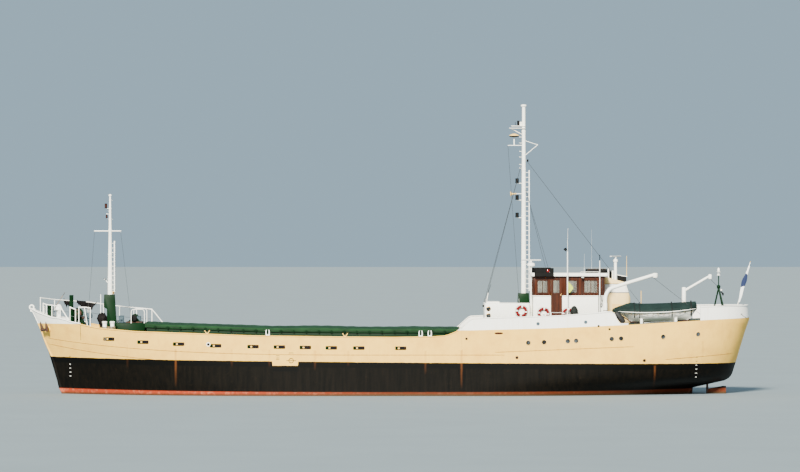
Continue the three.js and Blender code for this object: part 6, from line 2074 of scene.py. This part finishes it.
GRIPES = [(-12.15, 0.022), (-12.4, 0.018), (-14, 0.024), (-14.97, 0.035)]
make("lifeboat_gripes", [(strap(x, half), DARK_CANVAS) for x, half in GRIPES], "tarpaulin")
hanging = []
for k in range(12):
    x = -11.9 - 0.27 * k
    line = [p for p in boat_line(4.1, 1, 1, 1.012, 1)[:33] if abs(p.x - x) < 0.25][0]
    loop = [
        (x, line.y + 0.025, line.z), (x - 0.03, line.y + 0.03, line.z - 0.14),
        (x - 0.07, line.y + 0.03, line.z - 0.15), (x - 0.09, line.y + 0.025, line.z),
    ]
    hanging += of(ROPE, tube(bent(loop, 0.04), 0.006, 6))
make("lifeboat_lacing", hanging, "tarpaulin")
# A dark round bar aft of the bulwark's sloping end: painted shade that stands for the shadowed gap between
# that end and the boat's bow.
shade_bar = tube(
    [
        (-11.2, 2.78, 4.13), (-11.22, 2.78, 4.1), (-11.27, 2.78, 4.04), (-11.56, 2.76, 3.68),
        (-11.6, 2.76, 3.63), (-11.62, 2.76, 3.6),
    ],
    [0.05, 0.11, 0.14, 0.14, 0.11, 0.05], 18,
)
make("rubber_fender", [(shade_bar, RUBBER)], "black_paint")

# Davits, each turning in its socket.
DAVITS = [
    # name, radius of the arm, of the socket, x, y, radius and top of the pillar, the arm's points
    ("davit_fore", 0.095, 0.15, -10.7, 2.72, 0.095, 4.6, [
        (-10.7, 2.72, 4.5), (-10.7, 2.72, 4.95), (-10.9, 2.69, 5.29), (-11.56, 2.57, 5.5),
        (-13.19, 2.25, 5.99),
    ]),
    ("davit_aft", 0.065, 0.145, -14.68, 1.25, 0.105, 5.35, [
        (-14.68, 1.25, 5.15), (-14.86, 1.27, 5.265), (-15.97, 1.42, 5.92),
    ]),
]
SOCKET_TOP = 4.18
sockets = []
for name, r, socket_r, x, y, pillar_r, pillar_top, arm_points in DAVITS:
    deck = deck_at(x)
    socket = [
        (socket_r + 0.06, 0), (socket_r + 0.06, 0.02), (socket_r, 0.04),
        (socket_r, SOCKET_TOP - deck - 0.03), (socket_r - 0.02, SOCKET_TOP - deck),
    ]
    sockets += of(WHITE, turned(socket, (x, y, deck - 0.001), sides=28))
    path = bent(arm_points, 0.3, 8)
    tip = Vector(arm_points[-1])
    radii = [r * (0.86 + 0.14 * sin(pi * i / (len(path) - 1))) for i in range(len(path))]
    high = pillar_top - SOCKET_TOP
    pillar = [
        (pillar_r, 0.008), (pillar_r, high * 0.5), (pillar_r * 0.94, high - 0.03),
        (pillar_r * 0.8, high - 0.005), (0, high),
    ]
    head = [(r * 1.1, -0.16), (r * 1.35, -0.12), (r * 1.35, 0.03), (r, 0.07), (0, 0.075)]
    parts = of(
        WHITE, tube(path, radii, 20), turned(pillar, (x, y, SOCKET_TOP), sides=28),
        turned(head, tip, sides=20),
    )
    parts += of(ZINC, hoop(tip + Vector((0, 0, -0.19)), 0.035, 0.01, 8))
    collar = [
        (pillar_r - 0.002, 0), (pillar_r + 0.02, 0), (pillar_r + 0.02, 0.03), (pillar_r - 0.002, 0.03)
    ]
    parts += of(IRON, ring_form(collar, (x, y, SOCKET_TOP + 0.01), (0, 0, 1), 28))
    make(f"{name}_arm", parts, "white_paint", name, name)
make("davit_sockets", sockets, "hull_paint")
# Guys from the davits' heads.
GUYS = [
    ("davit_guy_fore", (-15.75, 2.35, deck_at(-15.75) + 0.02), (-13.08, 2.28, 5.84), "davit_fore"),
    ("davit_guy_aft", (-16.46, 0.08, 5.36), (-15.9, 1.41, 5.84), "davit_aft"),
]
for name, low, high, body in GUYS:
    low, high = Vector(low), Vector(high)
    guy = tube([low.lerp(high, k / 20) for k in range(21)], 0.009, 8)
    make(name, [(guy, WIRE)], body=("ship", body, low, high))

# Stern: light stand, staff with its furled ensign.
fx, knob = -16.5, 5.3
deck = deck_at(fx)
legs = [(-0.345, -0.48), (-0.345, 0.48), (0.345, 0)]
parts = [(tube([(fx + dx, dy, deck + 0.004), (fx, 0, knob)], [0.045, 0.04], 12), GREEN) for dx, dy in legs]
pad = [(0.09, 0), (0.09, 0.012), (0.05, 0.02)]
stem = [
    (0.03, -0.06), (0.07, -0.04), (0.075, 0.03), (0.05, 0.08), (0.028, 0.1), (0.026, 0.62), (0.08, 0.635)
]
parts += of(
    GREEN, *[turned(pad, (fx + dx, dy, deck + 0.0005), sides=16) for dx, dy in legs],
    turned(stem, (fx, 0, knob), sides=20),
)
parts += [(f, WHITE if m is BLACK else m) for f, m in lamp(fx, 5.93, LENS_CLEAR, 0.08, 0.22)]
hood = [(0.03, 0), (0.058, 0.02), (0.058, 0.09), (0.03, 0.15), (0, 0.16)]
bell = [(fx - 0.1, 0.06, 5.12), (fx - 0.22, 0.1, 5), (fx - 0.2, 0.1, 4.92)]
parts += [
    (turned(hood, (fx, 0, 6.15), sides=20), WHITE),
    (tube([(fx - 0.22, -0.31, 4.45), (fx - 0.22, 0.31, 4.45)], 0.014, 8), GREEN),
    (ball((fx, 0, knob + 0.06), 0.1, 16), GREEN), (ball((fx - 0.13, 0.1, 5.19), 0.045, 12), WHITE),
    (tube(bell, [0.03, 0.05, 0.04], 10), BLACK),
]
make("stern_light_stand_steel", parts, "green_paint", "stern_light_stand")
foot, head = Vector((-17.26, 0, deck_at(-17.26) + 0.001)), Vector((-18.09, 0, 6.6))
staff = [foot, foot.lerp(head, 0.5), head - (head - foot).normalized() * 0.03, head]
parts = [(tube(staff, [0.026, 0.022, 0.018, 0.016], 12), WHITE), (ball(head, 0.03, 12), BRASS)]
make("ensign_staff_pole", parts, "white_paint", "ensign_staff")
FLAG, tree, shader, place = start_material("bunting, blue and white", 0.8, **{"Sheen Weight": 0.2})
ruffle = add(tree, "ShaderNodeTexNoise", {"Vector": place, "Scale": 5, "Detail": 2})
height = add(tree, "ShaderNodeSeparateXYZ", {"Vector": place}).outputs["Z"]
wavy = add(tree, "ShaderNodeMath", {0: ruffle, 1: 0.3, 2: height}, operation="MULTIPLY_ADD")
tone = add(
    tree, "ShaderNodeMixRGB",
    {"Fac": between(tree, wavy, 5.52, 6.12, 0.02), "Color1": "#f0f1ee", "Color2": "#031a44"},
)
tree.links.new(tone.outputs[0], shader.inputs["Base Color"])
ENSIGN = {"top": 6.4, "low": 4.6, "folds": 2.5, "deep": 0.1}
ensign = []
for i in range(34):
    t = i / 33
    z = ENSIGN["top"] + (ENSIGN["low"] - ENSIGN["top"]) * t
    on_staff = foot.lerp(head, (z - foot.z) / (head.z - foot.z)) + Vector((0, 0.03, 0))
    wide = 0.035 + 0.1 * exp(-((t - 0.42) / 0.17) ** 2) + 0.05 * exp(-((t - 0.72) / 0.2) ** 2)
    section = []
    for j in range(61):
        u = j / 60
        x = wide * sin(2 * pi * ENSIGN["folds"] * u + t) * (0.75 + 0.25 * cos(9 * u + 4 * t))
        section.append(on_staff + Vector((x + 0.02 * sin(5 * t), ENSIGN["deep"] * u, 0.02 * sin(6 * u))))
    ensign.append(section)
made = make("ensign_cloth", [(hung_cloth(ensign), FLAG)], "bunting", "ensign", sharp=60)
halyard = [
    head - Vector((0, 0, 0.05)), foot.lerp(head, 0.25) + Vector((-0.03, 0.035, 0)),
    foot + Vector((0.03, 0.03, 0.3)),
]
make("ensign_halyard", [(tube(halyard, 0.004, 6), ROPE)], "varnished_wood")

# Fairleads and cleats of the main bulwark's rail.
parts = []
for x in (6, -1.55, -2):
    top = line_at(BULWARK_TOP, x)
    y = breadth(top, x)
    parts += of(WHITE, block((x - 0.1, y - 0.058, top + 0.002), (x + 0.1, y + 0.008, top + 0.045), 0.01))
    for way in (-1, 1):
        horn = [
            (0.03, 0.03), (0.095, 0.03), (0.1, 0.2), (0.075, 0.29), (0.04, 0.29), (0.06, 0.2), (0.055, 0.09)
        ]
        parts += of(WHITE, prism([(x + way * u, top + w) for u, w in horn], y - 0.05, y))
for x in (8.99, 2.18):
    top = line_at(BULWARK_TOP, x)
    y = breadth(top, x)
    for way in (-1, 1):
        horn = [(x + way * 0.02, y - 0.03, top + 0.002), (x + way * 0.13, y - 0.03, top + 0.16)]
        parts += of(CREAM, tube(horn, [0.022, 0.017], 10))
make("rail_fairleads", both_sides(parts), "white_paint")


def side_disc(x, z, profile, side=1, count=28):
    """A turned form on the hull's side, its profile as radii and distances out."""
    centre, out = on_hull(z, x, 0, side)
    return turned(profile, centre, out, count)


# Small ports of the poop's side, the scupper and the discharges.
HULL_PORTS = [
    (-6.86, 2.63), (-7.64, 2.66), (-8.81, 2.71), (-9.22, 2.73), (-10.98, 2.82), (-11.44, 2.84),
    (-13.53, 2.92), (-15.28, 3.04),
]
DISCHARGES = [
    (8.93, 2.55, 0.07, WHITE), (-3.81, 2.83, 0.04, IRON), (-6.3, 1.9, 0.05, IRON), (-12.6, 1.75, 0.05, IRON)
]
PORT_RIM = [
    (0.11, -0.01), (0.137, -0.01), (0.137, 0.006), (0.128, 0.016), (0.115, 0.016), (0.11, 0.006)
]
VENT_LID = [(0.085, -0.004), (0.085, 0.012), (0.055, 0.014), (0.055, 0.006), (0, 0.006)]
parts = []
for side in (1, -1):
    for x, z in HULL_PORTS:
        centre, out = on_hull(z, x, 0, side)
        parts += [
            (ring_form(PORT_RIM, centre, out, 28), CREAM),
            (side_disc(x, z, [(0.112, -0.01), (0.112, 0.002), (0, 0.003)], side), DARK_GLASS),
            *[(b, BRASS) for b in bolts(centre + out * 0.014, 0.122, out, 6, 0.006)],
        ]
    # Each discharge is a rim round a black disc, the disc painted shade for the dark inside of the hole.
    for x, z, r, finish in DISCHARGES:
        centre, out = on_hull(z, x, 0, side)
        rim = [(r, -0.01), (r * 1.6, -0.01), (r * 1.5, 0.01), (r, 0.014)]
        parts += [
            (ring_form(rim, centre, out, 20), finish),
            (side_disc(x, z, [(r * 1.01, -0.01), (r * 1.01, 0.003), (0, 0.002)], side, 20), BLACK),
        ]
    scupper = [on_hull(3.1, -5.6 + 0.1 * k, 0, side)[0] for k in range(5)]
    parts += of(BROWN, tube(scupper, [0.03, 0.05, 0.052, 0.05, 0.03], 12))
    for x, z in ((-7.34, 3.57), (-9.69, 3.65)):
        parts += of(GREY, side_disc(x, z, VENT_LID, side, 24))
    for x, z in ((-10.33, 3.46), (-10.87, 3.3)):
        parts += of(BLACK, side_disc(x, z, [(0.055, -0.004), (0.055, 0.008), (0, 0.01)], side, 16))
make("hull_ports", parts, "hull_paint")

# The load line's disc with its line, the deck's line, the side mark and the draught ticks, as painted beads.
MARK = 0.004
parts = []
for side in (1, -1):
    centre, out = on_hull(1.75, 4.84, 0, side)
    rim = [(0.095, -0.004), (0.125, -0.004), (0.125, MARK), (0.095, MARK)]
    parts += of(BLACK, ring_form(rim, centre, out, 36))
    bars = [
        (4.6, 5.08, 1.75), (4.72, 4.96, 2.13), (5.42, 5.58, 1.99), (5.42, 5.58, 1.88), (5.42, 5.58, 1.8)
    ]
    bars += [(aft, aft + 0.08, 0.9 + 0.2 * k) for aft in (-15.26, 15.9) for k in range(6)]
    for aft, fore, z in bars:
        ends = [on_hull(z, at, MARK / 2, side)[0] for at in (aft, (aft + fore) / 2, fore)]
        parts.append((tube(ends, 0.012, 6), BLACK if z > 1.7 else WHITE))
make("hull_marks", parts, "hull_paint")

# The wires that lead out of the stern's holes and down its sides.
parts = []
for side in (1, -1):
    trail = [(-17.5, 4), (-17.6, 3.93), (-17.72, 3.86), (-17.82, 3.8)]
    line = [on_hull(z, x, 0.008, side)[0] for x, z in trail]
    parts += of(IRON, tube(line, 0.009, 6))
make("stern_wires", parts, "anchor_iron")

# Things about the fore deck: nets on the starboard rail, a stowed net, a staff, a boathook and a small vent,
# and the winch's guards and controls.
def rail_height(x):
    """Height of the starboard rail at an x."""
    rail = [(p[0], p[1]) for p in reversed(RAILS["bow_rail_starboard"])]
    return line_at(rail, x)


def net_on_rail(x0, x1, deep, count=40):
    """A net folded over the starboard rail, ragged at its hems and thinner at its ends."""
    rings = []
    for i in range(count + 1):
        u = i / count
        x = x0 + (x1 - x0) * u
        y, top = -rail_foot(x).y, rail_height(x) + 0.034
        full = max(0.12, 1 - abs(2 * u - 1) ** 2.2) * (0.82 + 0.5 * noise.noise(Vector((x * 6, 0, 7))))
        out = 0.036 + 0.05 * full
        line = []
        for k in range(25):
            turn = pi * k / 24
            ragged = 0.2 * noise.noise(Vector((x * 9, k * 0.3, 1)))
            ragged += 0.14 * noise.noise(Vector((x * 21, k * 0.6, 4)))
            drop = (deep * full + ragged) * abs(cos(turn)) ** 1.5
            line.append(Vector((x, y + (out + 0.4 * ragged * abs(cos(turn))) * cos(turn), top - drop)))
        inner = []
        for k, p in enumerate(line):
            along = line[min(k + 1, len(line) - 1)] - line[max(k - 1, 0)]
            inner.append(p + Vector((0, -along.z, along.y)).normalized() * -0.004)
        rings.append(line + inner[::-1])
    return loft(rings)


TARRED = canvas("tarred net", "#0e0605", "#040303", 0.004)
for name, x0, x1, deep in (("rail_net_aft", 14.84, 15.8, 0.43), ("rail_net_fore", 16.05, 16.42, 0.38)):
    made = make(name, [(net_on_rail(x0, x1, deep), TARRED)], "tarpaulin", sharp=60)

heap_x, heap_y, heap_foot = 14.3, 1.5, deck_at(14.3)
profile = [
    (0, 0), (0.1, 0.01), (0.13, 0.1), (0.14, 0.55), (0.12, 0.75), (0.17, 0.9), (0.23, 1.03), (0.26, 1.16),
    (0.24, 1.28), (0.16, 1.38), (0.08, 1.41), (0, 1.42),
]
heap = turned(profile, (heap_x, heap_y, heap_foot + 0.001), sides=36)
crumpled = []
for p in heap[0]:
    up = max(0, p.z - heap_foot - 0.6)
    off = Vector([noise.noise(p * 9 + Vector(far)) for far in ((0, 0, 0), (9, 0, 0), (0, 9, 0))])
    crumpled.append(p + off * (0.02 + 0.09 * up))
made = make("stowed_net", [((crumpled, heap[1]), TARRED)], "tarpaulin", sharp=60)
lashings = []
for z, r in ((0.72, 0.135), (0.3, 0.15)):
    lashings += of(ROPE, hoop((heap_x, heap_y, heap_foot + z), r, 0.009, 6, 28, True))
make("stowed_net_lashings", lashings, "tarpaulin")

hook = [(16.4, -0.42, 4.91), (16.32, -0.42, 5.03), (16.29, -0.42, 5.1)]
parts = [
    (tube([(14.43, 0.62, deck_at(14.43)), (14.43, 0.62, 4.98)], [0.024, 0.018], 10), WHITE),
    (tube([(17.33, -0.42, FORE_DECK + 0.03), (16.32, -0.42, 5.03)], [0.014, 0.011], 8), BARE_WOOD),
    (tube(hook, [0.012, 0.014, 0.004], 8), IRON),
]
make("fore_staffs", parts, "varnished_wood")
small = [
    (0.075, 0), (0.075, 0.015), (0.045, 0.03), (0.045, 0.82), (0.058, 0.83), (0.058, 0.87), (0.04, 0.885),
    (0, 0.886),
]
make("bow_breather", [(turned(small, (17.31, 0, FORE_DECK + 0.001), sides=20), WHITE)], "white_paint")
house_top = 3.561
parts = []
for y in (-1.05, 1.05):
    guard = [(12.22, y, house_top), (12.22, y, 4.24), (12.88, y, 4.24), (12.88, y, house_top)]
    parts += of(WHITE, tube(bent(guard, 0.16, 6), 0.017, 10))
    for x in (12.22, 12.88):
        parts += of(WHITE, turned([(0.045, 0), (0.045, 0.01), (0.018, 0.016)], (x, y, house_top), sides=14))
make("winch_guards", parts, "white_paint")
handwheel = [(0.09, 0), (0.09, 0.03), (0.03, 0.04), (0.03, 0.1), (0, 0.105)]
parts = of(
    GREY, block((13.27, 0.42, house_top), (13.52, 0.72, 3.9), 0.02),
    block((13.26, 0.41, 3.9), (13.53, 0.73, 3.925), 0.008),
    turned(handwheel, (13.4, 0.725, 3.74), (0, 1, 0), 20),
)
make("winch_controls", parts, "grey_paint")

# Light and floor.
for name, energy, colour, angle, tilt, turn in [
    ("sun", 12.0, (1.0, 0.97, 0.86), 9.0, 60.0, 168.0), ("fill", 0.9, (1.0, 1.0, 1.0), 60.0, 75.0, 195.0),
]:
    shine = bpy.data.lights.new(name, "SUN")
    shine.energy, shine.color, shine.angle = energy, colour, radians(angle)
    light = placed_in_scene(name, shine)
    light.rotation_euler = (radians(tilt), 0, radians(turn))
world = bpy.data.worlds.new("studio")
world.use_nodes = True
world.node_tree.nodes["Background"].inputs["Color"].default_value = hex_colour("#a9c6d8")
world.node_tree.nodes["Background"].inputs["Strength"].default_value = 0.9
bpy.context.scene.world = world

floor_paint, tree, shader, place = start_material("studio floor", 0.9)
speckle = add(tree, "ShaderNodeTexNoise", {"Vector": place, "Scale": 0.2, "Detail": 3.0})
tone = add(tree, "ShaderNodeMixRGB", {"Fac": speckle, "Color1": "#818d92", "Color2": "#788489"})
tree.links.new(tone.outputs[0], shader.inputs["Base Color"])
floor_corners = [Vector((x, y, 0)) for x, y in ((-600, -900), (600, -900), (600, 400), (-600, 400))]
floor = make_plain("floor", [(floor_corners, [[0, 1, 2, 3]])])
floor.data.materials.append(floor_paint)
